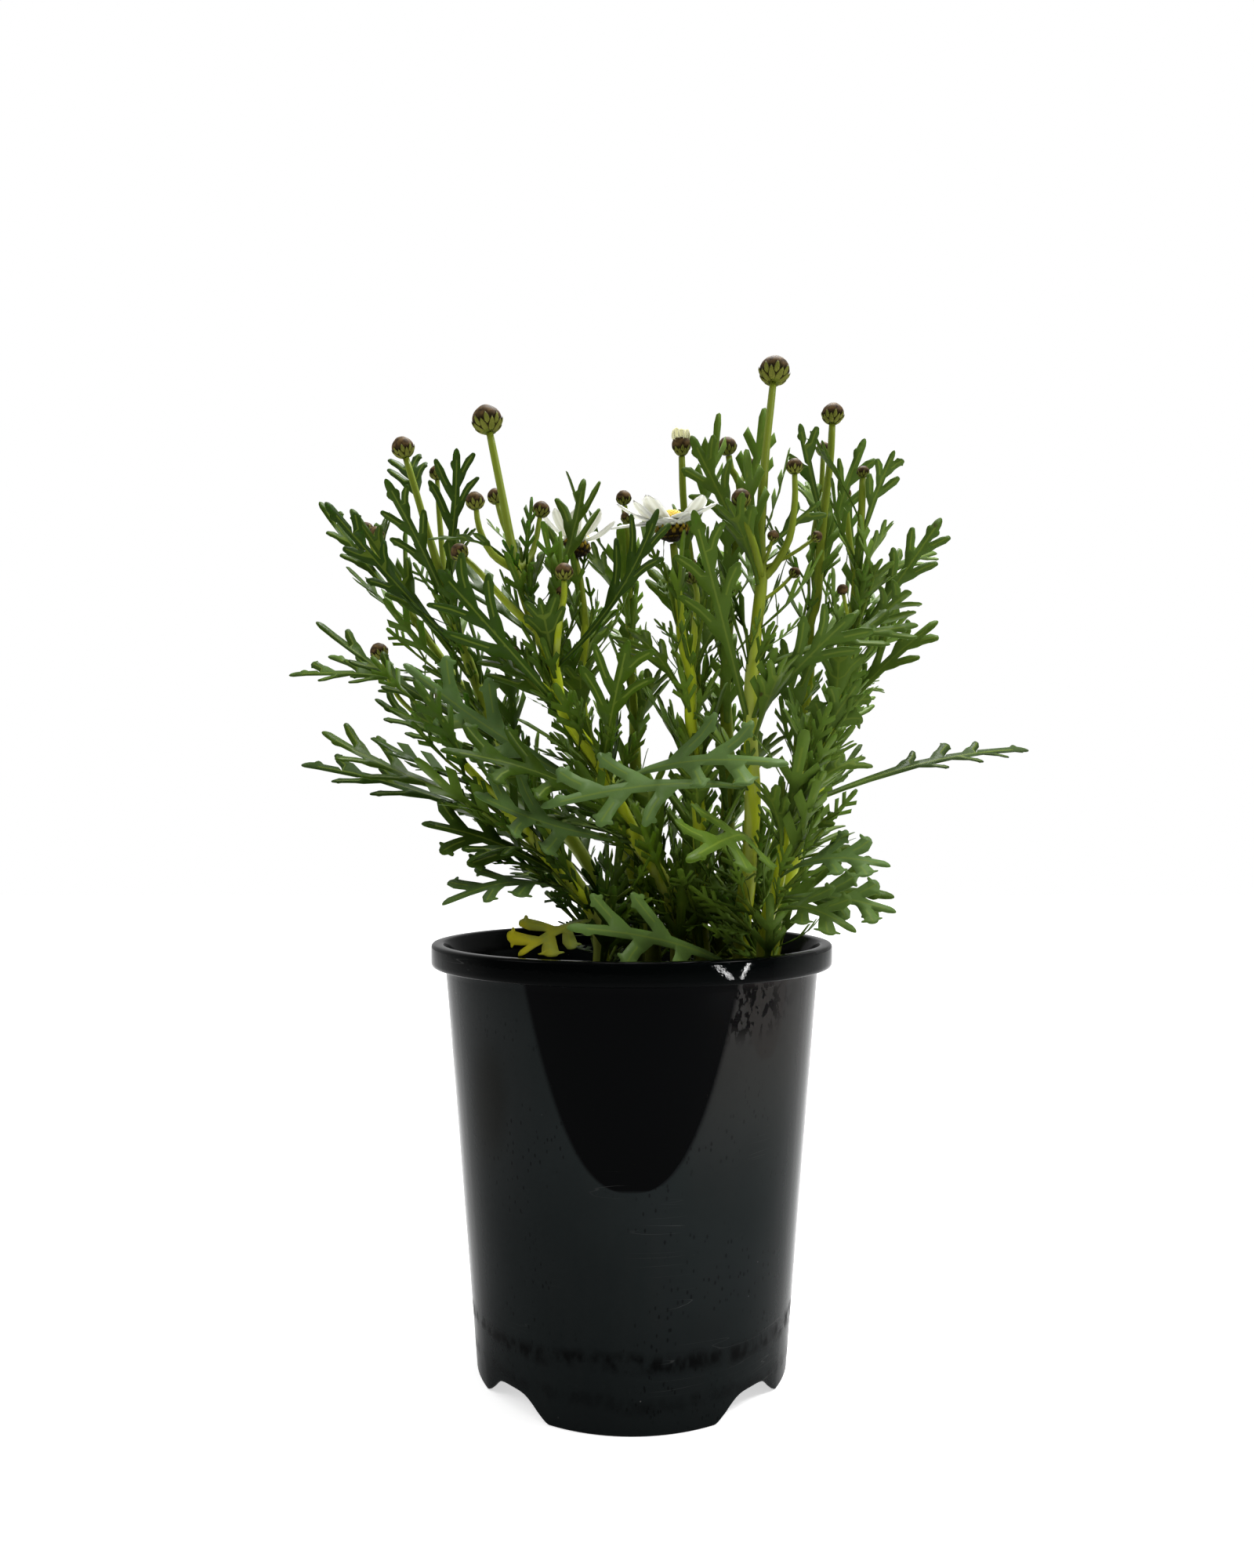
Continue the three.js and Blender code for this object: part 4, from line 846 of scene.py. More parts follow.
def lobe_edge(rear, fore, tip, reach, style, chance):
    """One lobe: the points round its edge and those down its middle."""
    toothed = style is BROAD
    bold = 1.5 if toothed else 1.15
    root = (rear + fore) / 2
    ahead = (tip - root).normalized()
    back = Vector((-ahead.y, ahead.x))
    thin = style[3] * (min(1, max(0.5, reach / 8)) * (0.9 + 0.3 * chance()))
    base = 0.45 * (fore - rear).length
    long = (tip - root).length
    bend = back * (-0.12 * long) * (chance() - 0.2)

    def spot(t, out):
        return root + ahead * (t * long) + bend * (4 * t * (1 - t)) + back * out

    def half(t):
        return thin * (0.85 + 0.3 * t) + (base - thin) * max(0, 1 - t) ** 6

    def trace(*places):
        return [spot(t, out * thin) for t, out in places]
    teeth = reach > 4 and (toothed or chance() > 0.6)
    edge = [rear] + [spot(t, half(t)) for t in (0.15, 0.38, 0.62, 0.78)]
    if teeth:
        edge += trace((0.80, bold), (0.86, bold + 0.2), (0.90, bold), (0.93, 0.95))
    edge += trace((1.02, 0.66), (1.06, 0.36), (1.07, -0.1), (1.03, -0.55))
    if teeth and chance() > 0.35:
        edge += trace((0.91, -0.95), (0.88, -bold), (0.83, -(bold + 0.1)), (0.77, -1.1))
    edge += [spot(t, -half(t)) for t in (0.72, 0.5, 0.3, 0.14)]
    return edge + [fore], [Vector((root.x - 0.09 * long, 0))] + [spot(t, 0) for t in (0.3, 0.6, 0.92)]


def leaf_outline(length, pairs, blunt, lobe, style, chance):
    """The leaf's edge as points (along, aside) and the lines down its rib and lobes."""

    def on_rib(x):
        return Vector((x, rib_half(x / length, length, style)))
    sides, spines = [], [[Vector((length * k / 12, 0)) for k in range(13)]]
    for side in (1, -1):
        edge = [Vector((length * s, rib_half(s, length, style))) for s in (0, 0.1, 0.2, 0.3)]
        for low, high, tip, reach in lobe_places(length, pairs, blunt, lobe, style, side):
            points, middle = lobe_edge(on_rib(low), on_rib(high), tip, reach, style, chance)
            edge += points
            spines.append([Vector((p.x, side * p.y)) for p in middle])
        tooth = [(6.4, 2.4), (5.4, 2.6), (4.6, 2.2), (4.2, 1.7)] if chance() > 0.5 else []
        grow = min(1, length / FULL_LENGTH)
        edge += [Vector((length - back * grow, out * grow))
                 for back, out in [(8, 1.55)] + tooth + [(2.2, 1.5), (0.7, 1.0), (0, 0.45)]]
        sides.append([Vector((p.x, side * p.y)) for p in edge])
    return sides[0] + [Vector((length + 0.2, 0))] + sides[1][::-1], spines


def to_nearest(p, lines):
    """The distance from a flat point to the nearest of some lines, at most 9 mm."""
    nearest = 9.0
    for line in lines:
        for a, b in zip(line, line[1:]):
            t = max(0, min(1, (p - a).dot(b - a) / (b - a).length_squared))
            nearest = min(nearest, (p - lerp(a, b, t)).length)
    return nearest


def leaf_pattern(length, pairs, blunt, lobe, style, chance):
    """Flat leaf: points, triangles, which points are on the edge, and distance to a vein."""
    outline, spines = leaf_outline(length, pairs, blunt, lobe, style, chance)
    flat = list(outline)
    edges = [(k, (k + 1) % len(outline)) for k in range(len(outline))]
    for spine in spines:
        first = len(flat)
        inner = spine[1:-1] if spine is spines[0] else spine[1:]
        flat += inner
        edges += [(first + k, first + k + 1) for k in range(len(inner) - 1)]
    flat, _, triangles = delaunay_2d_cdt(flat, edges, [], 1, 0.02)[:3]
    triangles = [tuple(face) for face in triangles]
    rim = {k for side in open_sides(triangles) for k in side}
    return flat, triangles, rim, [to_nearest(p, spines) for p in flat]


def rib_frame(root, tip, face, bow):
    """Turns flat leaf positions into space along a bowed rib."""
    run = (tip - root).normalized()
    side = face.cross(run).normalized()
    lift = run.cross(side)
    middle = (root + tip) / 2 + lift * (2 * bow)

    def place_on(s, w, h):
        p = root * (1 - s) ** 2 + middle * (2 * s * (1 - s)) + tip * s * s
        ahead = ((middle - root) * (1 - s) + (tip - middle) * s).normalized()
        return p + side * w + ahead.cross(side) * (h + 0.16 * abs(w))
    return place_on


def add_leaf(heap, pattern, length, place_on, tone, young, chance, swell=0.32):
    """Bends a flat leaf and gives it an upper and a lower skin with a thin edge between them."""
    flat, triangles, rim, vein = pattern
    phase, curl = 6 * chance(), 0.10 * (chance() - 0.35)
    points, count = [], len(flat)
    for side in (1, -1):
        for k, p in enumerate(flat):
            beyond = max(0, abs(p.y) - 2.5)
            wave = 0.25 * sin(p.x * 0.45 + phase) * min(1, abs(p.y) / 3) + curl * beyond ** 1.6 * 0.5
            groove = 0.75 if vein[k] < 0.1 and side > 0 else 1
            rise = 0.12 if k in rim else swell * groove
            points.append(place_on(p.x / length, p.y, wave + side * rise))
    heap.add(points, two_skins(triangles, count), vein=vein + vein, under=[0.0] * count + [1.0] * count,
             tone=tone, young=young)


sample = leaf_pattern(60, 3, True, 1, BROAD, repeatable(5))
print("a large leaf:", len(sample[0]), "points,", len(sample[1]), "triangles a side")

# %% [markdown]
# In the CAD model each leaf was turned or shortened a little until it was clear of its
# neighbours. To put the fine leaf in exactly that place, the same tries are made again here,
# and the one whose tips lie on the corners of the CAD solid is the leaf that was kept. This
# way the picture and the solids can't drift apart, and no list of places has to be copied.

# %% Find every leaf of the CAD model
# The tries of the CAD source: turns in degrees about the stem, then shorter leaves.
SMALL_TURNS = (0, 6, -6, 12, -12, 18, -18, 26, -26, 34, -34)
WIDE_TURNS = (0, 24, -24, 48, -48, 75, -75, 110, -110, 150, -150)
SHORTER = (1, 0.85, 0.7)
CLOSE_ENOUGH = 0.25
GOLDEN_TURN = radians(137.5)
# Large leaves whose tips lie this low and this far in front are broad and toothed.
BROAD_BELOW, BROAD_BEFORE = 236, -38
# What the shape of a leaf's lobes depends on, besides its length.
LOBE_KEYS = ("pairs", "blunt", "lobe", "style")


def cad_corners(name):
    thing = frame["nodes"][name]
    tree = KDTree(len(thing.data.vertices))
    for k, vertex in enumerate(thing.data.vertices):
        tree.insert(thing.matrix_world @ vertex.co / MM, k)
    tree.balance()
    return tree


def leaf_frame(leaf):
    return rib_frame(leaf["root"], leaf["tip"], leaf["face"], leaf["bow"])


def misfit(corners, leaf):
    """The mean distance from the tips of a leaf to the corners of the CAD solid."""
    length = (leaf["tip"] - leaf["root"]).length
    place_on = leaf_frame(leaf)
    tips = [(1 - 1.1 / length, 1.1), (1, -0.55)] if leaf["blunt"] else [(1, 0)]
    corner = leaf["style"][3]
    for side in (1, -1):
        for _, _, tip, _ in lobe_places(length, *(leaf[key] for key in LOBE_KEYS), side):
            if leaf["blunt"]:
                tips += [((tip.x - corner) / length, side * (tip.y + 0.4 * corner)),
                         ((tip.x + corner) / length, side * (tip.y - 0.4 * corner))]
            else:
                tips.append((tip.x / length, side * tip.y))
    far = [corners.find(place_on(s, w, h))[2] for s, w in tips for h in (0.35, -0.35)]
    return sum(far) / len(far)


def find_leaf(corners, wish, ahead, turns):
    for shrink in SHORTER:
        for turn in turns:
            turned = Quaternion(ahead, radians(turn))
            leaf = dict(wish, tip=wish["root"] + turned @ (wish["tip"] - wish["root"]) * shrink,
                        face=turned @ wish["face"], bow=wish["bow"] * shrink)
            if misfit(corners, leaf) < CLOSE_ENOUGH:
                return leaf
    return None


def direction(points, at):
    return (on_line(points, at + 0.05) - on_line(points, at - 0.05)).normalized()


def ruled_leaves(stem, points, seed):
    """The smaller leaves that a stem carries in a spiral, as wished."""
    start, end, count, length, turn = stem["fill"]
    following = repeatable(seed)
    for k in range(count):
        at = start + (end - start) * (k + 0.2 + 0.6 * following()) / count
        pitch = radians(33 + 16 * (following() - 0.5))
        long = length * (0.85 + 0.3 * following()) * (1 - 0.3 * k / count)
        bow = long * (0.03 + 0.08 * following())
        around = turn + k * GOLDEN_TURN + 0.5 * (following() - 0.5)
        ahead = direction(points, at)
        side = Vector((0, 1, 0)).cross(ahead).normalized()
        out = side * cos(around) + ahead.cross(side) * sin(around)
        run = ahead * cos(pitch) + out * sin(pitch)
        root = on_line(points, at)
        yield dict(root=root, tip=root + run * long, face=ahead.copy(), bow=bow, pairs=2,
                   blunt=False, lobe=1, style=SWEPT), ahead


def leaves_of(index, stem):
    """Every large leaf of a stem with the stem's direction at its foot."""
    corners, points, found = cad_corners("stem_" + stem["name"]), stem_points(stem), []
    for at, tip, face, pairs, bow, lobe in stem["leaves"]:
        style = BROAD if tip[1] < BROAD_BEFORE and tip[2] < BROAD_BELOW else SWEPT
        wish = dict(root=on_line(points, at), tip=Vector(tip), face=Vector(face), bow=bow,
                    pairs=pairs, blunt=True, lobe=lobe, style=style)
        ahead = direction(points, at)
        found.append((find_leaf(corners, wish, ahead, SMALL_TURNS), ahead))
    for wish, ahead in ruled_leaves(stem, points, 100 + index):
        found.append((find_leaf(corners, wish, ahead, WIDE_TURNS), ahead))
    return [(leaf, ahead) for leaf, ahead in found if leaf]


leaves = {stem["name"]: leaves_of(index, stem) for index, stem in enumerate(STEMS)}
print("leaves found:", {name: len(found) for name, found in leaves.items()})
print("in all:", sum(len(found) for found in leaves.values()))

# %% [markdown]
# Each stem node is now drawn twice: once as stalks and once as leaves, because their finishes
# differ. The tone of a leaf is drawn by lot, the broad ones in front are paler, with a grey bloom
# and a painted sheen, and the lowest one on the left is turning yellow.

# %% Stalks and large leaves
# A higher tone gives the broad leaves in front a grey bloom and a painted sheen.
YELLOW_TONE, BROAD_PALER, PALEST = 1.65, 0.55, 1.25
YELLOW_STEM, YELLOW_BELOW = "low_left", 148


def stem_radius(t):
    return lerp(3, 1.1, t ** 1.2) * (1 + 0.05 * sin(40 * t))


def shoot_radius(t):
    return lerp(1.4, 0.85, t)


def leaf_tone(stem, leaf, drawn):
    if stem["name"] == YELLOW_STEM and leaf["tip"].z < YELLOW_BELOW:
        return YELLOW_TONE
    return min(drawn + BROAD_PALER, PALEST) if leaf["style"] is BROAD else drawn


chance = repeatable(2026)
for stem in STEMS:
    stalks, blades = Heap(), Heap()
    stalk(stalks, smooth(stem_points(stem), 5), stem_radius, lambda t: min(1, 0.15 + t))
    for shoot in stem["shoots"]:
        stalk(stalks, smooth(shoot_points(stem, shoot), 4), shoot_radius, lambda t: 0.8, 12)
    for leaf, _ in leaves[stem["name"]]:
        length = (leaf["tip"] - leaf["root"]).length
        pattern = leaf_pattern(length, *(leaf[key] for key in LOBE_KEYS), chance)
        tone = leaf_tone(stem, leaf, chance())
        youth = 0.35 * chance() + (0 if leaf["blunt"] else 0.15)
        add_leaf(blades, pattern, length, leaf_frame(leaf), tone, youth, chance)
    name = "stem_" + stem["name"]
    for heap, part, finish in ((stalks, "_stalks", stem_green), (blades, "_leaves", leaf_green)):
        settle(show(name + part, heap.mesh(name + part), finish), "leafy_stem", name)
    print(name, "faces:", len(stalks.faces) + len(blades.faces))

# %% [markdown]
# Between the large leaves the plant is full of young ones: short leaves along every stem, and
# a small leafy twig in the corner above each leaf. They follow lines, so Geometry Nodes place
# them: each step of a line gets one of three leaves, turned on by the golden angle and tilted
# away from the line. Sizes and tones come from seeded chance. The three leaves are drawn
# first, of few faces each, because there are hundreds of copies.

# %% Three young leaves
def small_pattern(long, pairs):
    """A narrow leaf of few faces: straps that point forward from a narrow rib."""
    edge = [(0, 0.9), (0.34 * long, 1.5)]
    for k in range(pairs):
        at, reach = long * (0.38 + 0.46 * k / pairs), long * (0.27 - 0.05 * k)
        ahead, aside = at + 0.86 * reach, 0.46 * reach
        edge += [(at, 1.6), (ahead - 1.5, 2.4 + aside), (ahead + 1.7, 0.9 + aside), (at + 5, 1.6)]
    edge += [(long - 3.6, 1.9), (long - 0.6, 1.2)]
    outline = [Vector(p) for p in edge] + [Vector((long, 0))] + [Vector((x, -y)) for x, y in edge[::-1]]
    middle = [Vector((long * s, 0)) for s in (0.3, 0.55, 0.78)]
    rings = [(k, (k + 1) % len(outline)) for k in range(len(outline))]
    flat, _, triangles = delaunay_2d_cdt(outline + middle, rings, [], 1, 0.001)[:3]
    vein = [abs(p.y) if k >= len(outline) else 1.2 for k, p in enumerate(flat)]
    return flat, [tuple(face) for face in triangles], set(range(len(outline))), vein


young_leaves = bpy.data.collections.new("young_leaves")
for variant, (long, pairs) in enumerate(((46, 2), (42, 2), (36, 1))):
    template = Heap()
    upright = rib_frame(Vector((0, 0, 0)), Vector((0, 0, long)), Vector((0, 1, 0)), -3 + 2 * variant)
    add_leaf(template, small_pattern(long, pairs), long, upright, 0, 0, repeatable(70 + variant), 0.3)
    template.numbers = {key: template.numbers[key] for key in ("vein", "under")}
    mesh = template.mesh(f"young_leaf_{variant}")
    young_leaves.objects.link(bpy.data.objects.new(mesh.name, mesh))
    print(mesh.name, "faces:", len(mesh.polygons))


# %% [markdown]
# A geometry tree is a recipe that grows a finished piece from a simple one: here leaves from a
# line, later scales and florets from a guide, and crumbs from the body of the soil. All three
# trees set copies of a template on points, make the copies real, join them to the rest and
# give all one finish, so they share these helpers. The last helper runs a tree and keeps the
# result as a plain mesh.

# %% Helpers for geometry trees
def new_tree(name, *wanted):
    """A geometry tree with its named inputs, the geometry it is given and its output."""
    tree = bpy.data.node_groups.new(name, "GeometryNodeTree")
    tree.interface.new_socket("Geometry", in_out="OUTPUT", socket_type="NodeSocketGeometry")
    for key, kind in (("Geometry", "Geometry"), *wanted):
        tree.interface.new_socket(key, in_out="INPUT", socket_type="NodeSocket" + kind)
    return tree, tree.nodes.new("NodeGroupInput").outputs, tree.nodes.new("NodeGroupOutput").inputs[0]


def set_on_points(points, shape, turned, size, more):
    """Sets a copy of a shape on each point."""
    return plug(points.id_data, "GeometryNodeInstanceOnPoints", {
        "Points": points, "Instance": shape, "Rotation": turned, "Scale": size, **more})


def end_tree(result, finish, copies, rest):
    """Makes the copies real, joins them to the rest, gives all the finish and sends it out."""
    tree = finish.id_data
    whole = plug(tree, "GeometryNodeJoinGeometry")
    for part in (plug(tree, "GeometryNodeRealizeInstances", {"Geometry": copies}), rest):
        fill(whole.node.inputs[0], part)
    fill(result, plug(tree, "GeometryNodeSetMaterial", {"Geometry": whole, "Material": finish}))


def random_number(low, high, seed, kind="FLOAT"):
    """A number between low and high that differs from point to point."""
    first = 2 if kind == "FLOAT" else 4
    inputs = {first: low, first + 1: high, "Seed": seed}
    return plug(seed.id_data, "FunctionNodeRandomValue", inputs, output=first // 2, data_type=kind)


def shifted(seed, step):
    return sums("ADD", seed, step)


def angles(tree, about):
    """A turn from angles about x, y and z, given by their places 0, 1 and 2."""
    return plug(tree, "FunctionNodeEulerToRotation", {0: plug(tree, "ShaderNodeCombineXYZ", about)})


def facing(ahead, axis, before=None, pivot="AUTO"):
    """A turn that makes an axis look ahead; it may follow another turn."""
    inputs = {"Vector": ahead, "Rotation": before} if before else {"Vector": ahead}
    return plug(ahead.id_data, "FunctionNodeAlignRotationToVector", inputs, axis=axis, pivot_axis=pivot)


def turned_on(first, second):
    return plug(first.id_data, "FunctionNodeRotateRotation", {0: first, 1: second}, rotation_space="LOCAL")


def noted(geometry, name, value, domain):
    """Stores a number on a geometry, so that its finish can read it."""
    return plug(geometry.id_data, "GeometryNodeStoreNamedAttribute",
                {"Geometry": geometry, "Name": name, "Value": value}, data_type="FLOAT", domain=domain)


def grown(name, mesh, tree, values):
    """Runs a geometry tree on a mesh and returns the result as a plain mesh."""
    seed_piece = bpy.data.objects.new(name, mesh)
    bpy.context.scene.collection.objects.link(seed_piece)
    modifier = seed_piece.modifiers.new("growth", "NODES")
    modifier.node_group = tree
    for item in tree.interface.items_tree:
        if item.in_out == "INPUT" and item.name in values:
            modifier[item.identifier] = values[item.name]
    seed_piece.update_tag()
    evaluated = seed_piece.evaluated_get(bpy.context.evaluated_depsgraph_get())
    result = bpy.data.meshes.new_from_object(evaluated)
    seed_piece.modifiers.remove(modifier)
    bpy.data.objects.remove(seed_piece)
    result.name = name
    result.polygons.foreach_set("use_smooth", [True] * len(result.polygons))
    return result


# %% [markdown]
# This tree cuts a line into even steps and sets a young leaf on each. It also gives the line a
# round section, so that a twig holds its leaves. The same tree serves for the stems and for
# the twigs; only its named inputs differ.

# %% Leaves along a line
def leafy_line_tree():
    tree, given, result = new_tree(
        "leafy line", ("Leaves", "Collection"), ("Spacing", "Float"), ("Smallest", "Float"),
        ("Largest", "Float"), ("Tilt", "Float"), ("Twig radius", "Float"), ("Seed", "Int"),
        ("Finish", "Material"))
    seed = given["Seed"]
    curve = plug(tree, "GeometryNodeMeshToCurve", {"Mesh": given["Geometry"]})
    steps = plug(tree, "GeometryNodeResampleCurve", {"Curve": curve, "Length": given["Spacing"]},
                 mode="LENGTH")
    index = plug(tree, "GeometryNodeInputIndex")
    spiral = sums("MULTIPLY_ADD", index, GOLDEN_TURN, random_number(-0.5, 0.5, seed))
    tilt = sums("ADD", given["Tilt"], random_number(-0.25, 0.25, seed))
    turned = facing(plug(tree, "GeometryNodeInputTangent"), "Z")
    turned = turned_on(turned_on(turned, angles(tree, {2: spiral})), angles(tree, {0: tilt}))
    picked = plug(tree, "GeometryNodeCollectionInfo", {
        "Collection": given["Leaves"], "Separate Children": True, "Reset Children": True})
    size = random_number(given["Smallest"], given["Largest"], shifted(seed, 3))
    which = random_number(0, 2, seed, "INT")
    placed = set_on_points(steps, picked, turned, size, {"Pick Instance": True, "Instance Index": which})
    for key, low, high, step in (("tone", 0, 1, 11), ("young", 0.1, 1, 12)):
        placed = noted(placed, key, random_number(low, high, shifted(seed, step)), "INSTANCE")
    ring = plug(tree, "GeometryNodeCurvePrimitiveCircle", {"Resolution": 6, "Radius": given["Twig radius"]})
    twigs = plug(tree, "GeometryNodeCurveToMesh", {
        "Curve": curve, "Profile Curve": ring, "Fill Caps": True})
    end_tree(result, given["Finish"], placed, noted(twigs, "young", 0.9, "POINT"))
    return tree


def line_mesh(lines):
    """Lines as a mesh of loose edges, for a tree that turns them into curves."""
    points, edges = [], []
    for line in lines:
        edges += [(len(points) + k, len(points) + k + 1) for k in range(len(line) - 1)]
        points += [tuple(p * MM) for p in line]
    mesh = bpy.data.meshes.new("lines")
    mesh.from_pydata(points, edges, [])
    return mesh


def leafy_part(line, low, bare):
    """The stretch of a stem that carries leaves: above low and below the bare bud stalk."""
    kept = [p for p in line if p.z > low]
    left, cut = bare, len(kept)
    while cut > 2 and left > 0:
        cut -= 1
        left -= (kept[cut] - kept[cut - 1]).length
    return kept[:cut]


# The photo shows the thick stem on the right bare from the soil to its fork, seen from the
# front, and the leaves on the far right narrow and close to their stems.
BARE_IN_FRONT = "right_main"
NARROW = ("right_far", "back_right", "right_back")
FORK_HEIGHT, RIM_HEIGHT = 214, 131
TWIGS_ABOVE, TWIGS_BELOW = 133, 262
INSIDE_RIM = 56


def bare_stalk(head):
    """How long the leafless stalk under a bud is; a stem without one has leaves to its end."""
    if not head:
        return 4
    return 62 if head[1] >= 4 else 30


def corner_twigs(stem):
    """A twig in the corner above each leaf."""
    for leaf, ahead in leaves[stem["name"]]:
        if not TWIGS_ABOVE < leaf["root"].z < TWIGS_BELOW:
            continue
        away = (leaf["tip"] - leaf["root"]).normalized()
        reach = 14 + 14 * chance()
        if stem["name"] == BARE_IN_FRONT and away.y < -0.1:
            continue
        way = (ahead * 0.8 + away * 0.5).normalized()
        yield [leaf["root"] + way * (reach * k / 4) + ahead * (0.08 * reach * (k / 4) ** 2)
               for k in range(5)]


def foot_twigs(stem, line):
    """Young shoots round the foot of the stem, which keep clear of the pot's wall."""
    for k in range(5):
        turn = 2 * pi * (k + chance()) / 5
        foot = min(line, key=lambda p: abs(p.z - 132 - 5 * k))
        way = Vector((cos(turn), sin(turn), 0.55 + 0.5 * chance())).normalized()
        reach = 12 + 10 * chance()
        if hypot(foot.x + way.x * 2 * reach, foot.y + way.y * 2 * reach) > INSIDE_RIM:
            way.x, way.y = -way.x, -way.y
        if not (stem["name"] == BARE_IN_FRONT and way.y < -0.2):
            yield [foot + way * (reach * j / 4) for j in range(5)]


leafy_line = leafy_line_tree()
total = 0
for index, stem in enumerate(STEMS):
    narrow = stem["name"] in NARROW
    line = smooth(stem_points(stem), 4)
    low = FORK_HEIGHT if stem["name"] == BARE_IN_FRONT else RIM_HEIGHT
    stretch = leafy_part(line, low, bare_stalk(stem["head"]))
    twigs = [*corner_twigs(stem), *foot_twigs(stem, line)]
    on_stem = {"Smallest": 0.6, "Largest": 0.95 if narrow else 1.1, "Tilt": radians(14 if narrow else 22),
               "Spacing": 10 * MM, "Twig radius": 0.4 * MM, "Seed": 40 + index}
    on_twigs = {"Smallest": 0.3, "Largest": 0.6, "Tilt": radians(30), "Spacing": 6 * MM,
                "Twig radius": 0.6 * MM, "Seed": 80 + index}
    for kind, lines, values in (("young_", [stretch], on_stem), ("twigs_", twigs, on_twigs)):
        name = kind + stem["name"]
        values.update({"Leaves": young_leaves, "Finish": leaf_green})
        mesh = grown(name, line_mesh(lines), leafy_line, values)
        settle(show(name, mesh, leaf_green), "leafy_stem")
        total += len(mesh.polygons)
print("faces on young leaves and twigs:", total)

# %% [markdown]
# A daisy bud is a smooth brown globe of closed papery scales, held from below by two rows of
# pointed green ones with dark margins. The cup under a flower is the same thing, riper: its
# scales are dark brown and end in a dry yellow tip. One finish serves both, because each
# point of the mesh keeps how ripe it is, how high it lies and how near a scale's margin.

# %% Bud finish
bud_scale, shader, tree = new_finish("bud_scale")
margin, row, along, core, ripe = (number(tree, key) for key in ("margin", "row", "along", "core", "ripe"))
mottle = noise(on_object(tree), 600, 4)
olive = blend(mottle, (0.076, 0.088, 0.010), (0.148, 0.154, 0.028))
papery = blend(ramp(mottle, 0.3, 0.7), (0.022, 0.013, 0.005), (0.095, 0.058, 0.021))
browned = ramp(sums("MULTIPLY_ADD", mottle, 0.35, row), 0.60, 0.85)
edge = ramp(sums("MULTIPLY_ADD", mottle, 0.25, margin), 0.72, 1.0, 0, 0.9)
green_scale = coats(olive, (browned, papery), (edge, (0.014, 0.008, 0.003)))
globe = blend(ramp(row, 0.36, 0.56), (0.014, 0.010, 0.003), papery)
globe = blend(ramp(row, 0.12, 0.02), globe, (0.075, 0.095, 0.010))
dry = blend(mottle, (0.21, 0.130, 0.008), (0.40, 0.285, 0.020))
dry = blend(times(ramp(along, 0.45, 0.75), row), (0.013, 0.008, 0.003), dry)
bud_colour = blend(core, green_scale, globe)
cup_colour = blend(core, dry, (0.012, 0.008, 0.003))
dress(shader, blend(ripe, bud_colour, cup_colour), 0.55, (0.3, 0.0002, mottle), 0.04)

# %% [markdown]
# The globe is a profile turned about the bud's line, and some of its corners carry a size: a
# second geometry tree sets one curved scale on each of those. The scale is modelled once and
# placed by rule, so the buds are alike in kind, and a little looseness keeps them from being
# the same.

# %% The scale and the heads that carry it
# Profiles of a head of radius 1, as (height, radius) from its stalk up.
OPENING = ((0, 0.34), (0.45, 0.68), (1.0, 1.0), (1.5, 0.92), (1.95, 0.55))
BUD = ((0, 0.4), (0.45, 0.84), (0.95, 1.03), (1.45, 0.86), (1.85, 0.42))
CUP = ((0, 0.3), (0.3, 0.72), (0.62, 1.0), (0.95, 0.98))
# Which rows of a head carry scales, counted in thirds of a profile's steps, and how large
# they are on a head of radius 1.
BUD_SCALES = {2: 0.95, 4: 0.8}
CUP_SCALES = {3: 0.75, 5: 0.75, 7: 0.7}
LEAST_SCALE = 0.01


def weld(mesh, distance=1e-6):
    """Merges the points that lie together, so that two skins close along their rim."""
    work = bmesh.new()
    work.from_mesh(mesh)
    bmesh.ops.remove_doubles(work, verts=work.verts, dist=distance)
    work.to_mesh(mesh)
    work.free()
    return mesh


def grid_skins(steps, wide, flipped=False):
    """Faces of two equal grids of points, an upper and a lower skin that share their rim."""
    row, faces = wide + 1, []
    count = (steps + 1) * row
    for j in range(steps):
        for k in range(wide):
            a = j * row + k
            upper, lower = (a, a + 1, a + row + 1, a + row), (a, a + row, a + row + 1, a + 1)
            if flipped:
                upper, lower = lower, upper
            faces += [upper, tuple(count + corner for corner in lower)]
    return faces


def scale_template():
    """One pointed scale for a head of radius 1, lying in the xy plane with its tip along y."""
    template = Heap()
    points, margins, alongs, steps, wide = [], [], [], 5, 4
    for side in (1, -1):
        for j in range(steps + 1):
            t = j / steps
            half = 0.30 * sin(pi * (0.14 + 0.84 * t ** 0.85)) ** 0.9
            for k in range(wide + 1):
                w = 2 * k / wide - 1
                px, py = w * half, -0.56 + 1.12 * t
                rim = max(abs(w), abs(2 * t - 1)) > 0.99
                rise = -(px * px + py * py) * 0.46 + 0.03 + (0 if rim else side * 0.045) + 0.05 * t
                points.append((px, py, rise))
                margins.append(max(abs(w), 0.5 + 0.5 * t if t > 0.9 else 0))
                alongs.append(t)
    template.add(points, grid_skins(steps, wide), margin=margins, along=alongs, core=0.0)
    return weld(template.mesh("scale"))


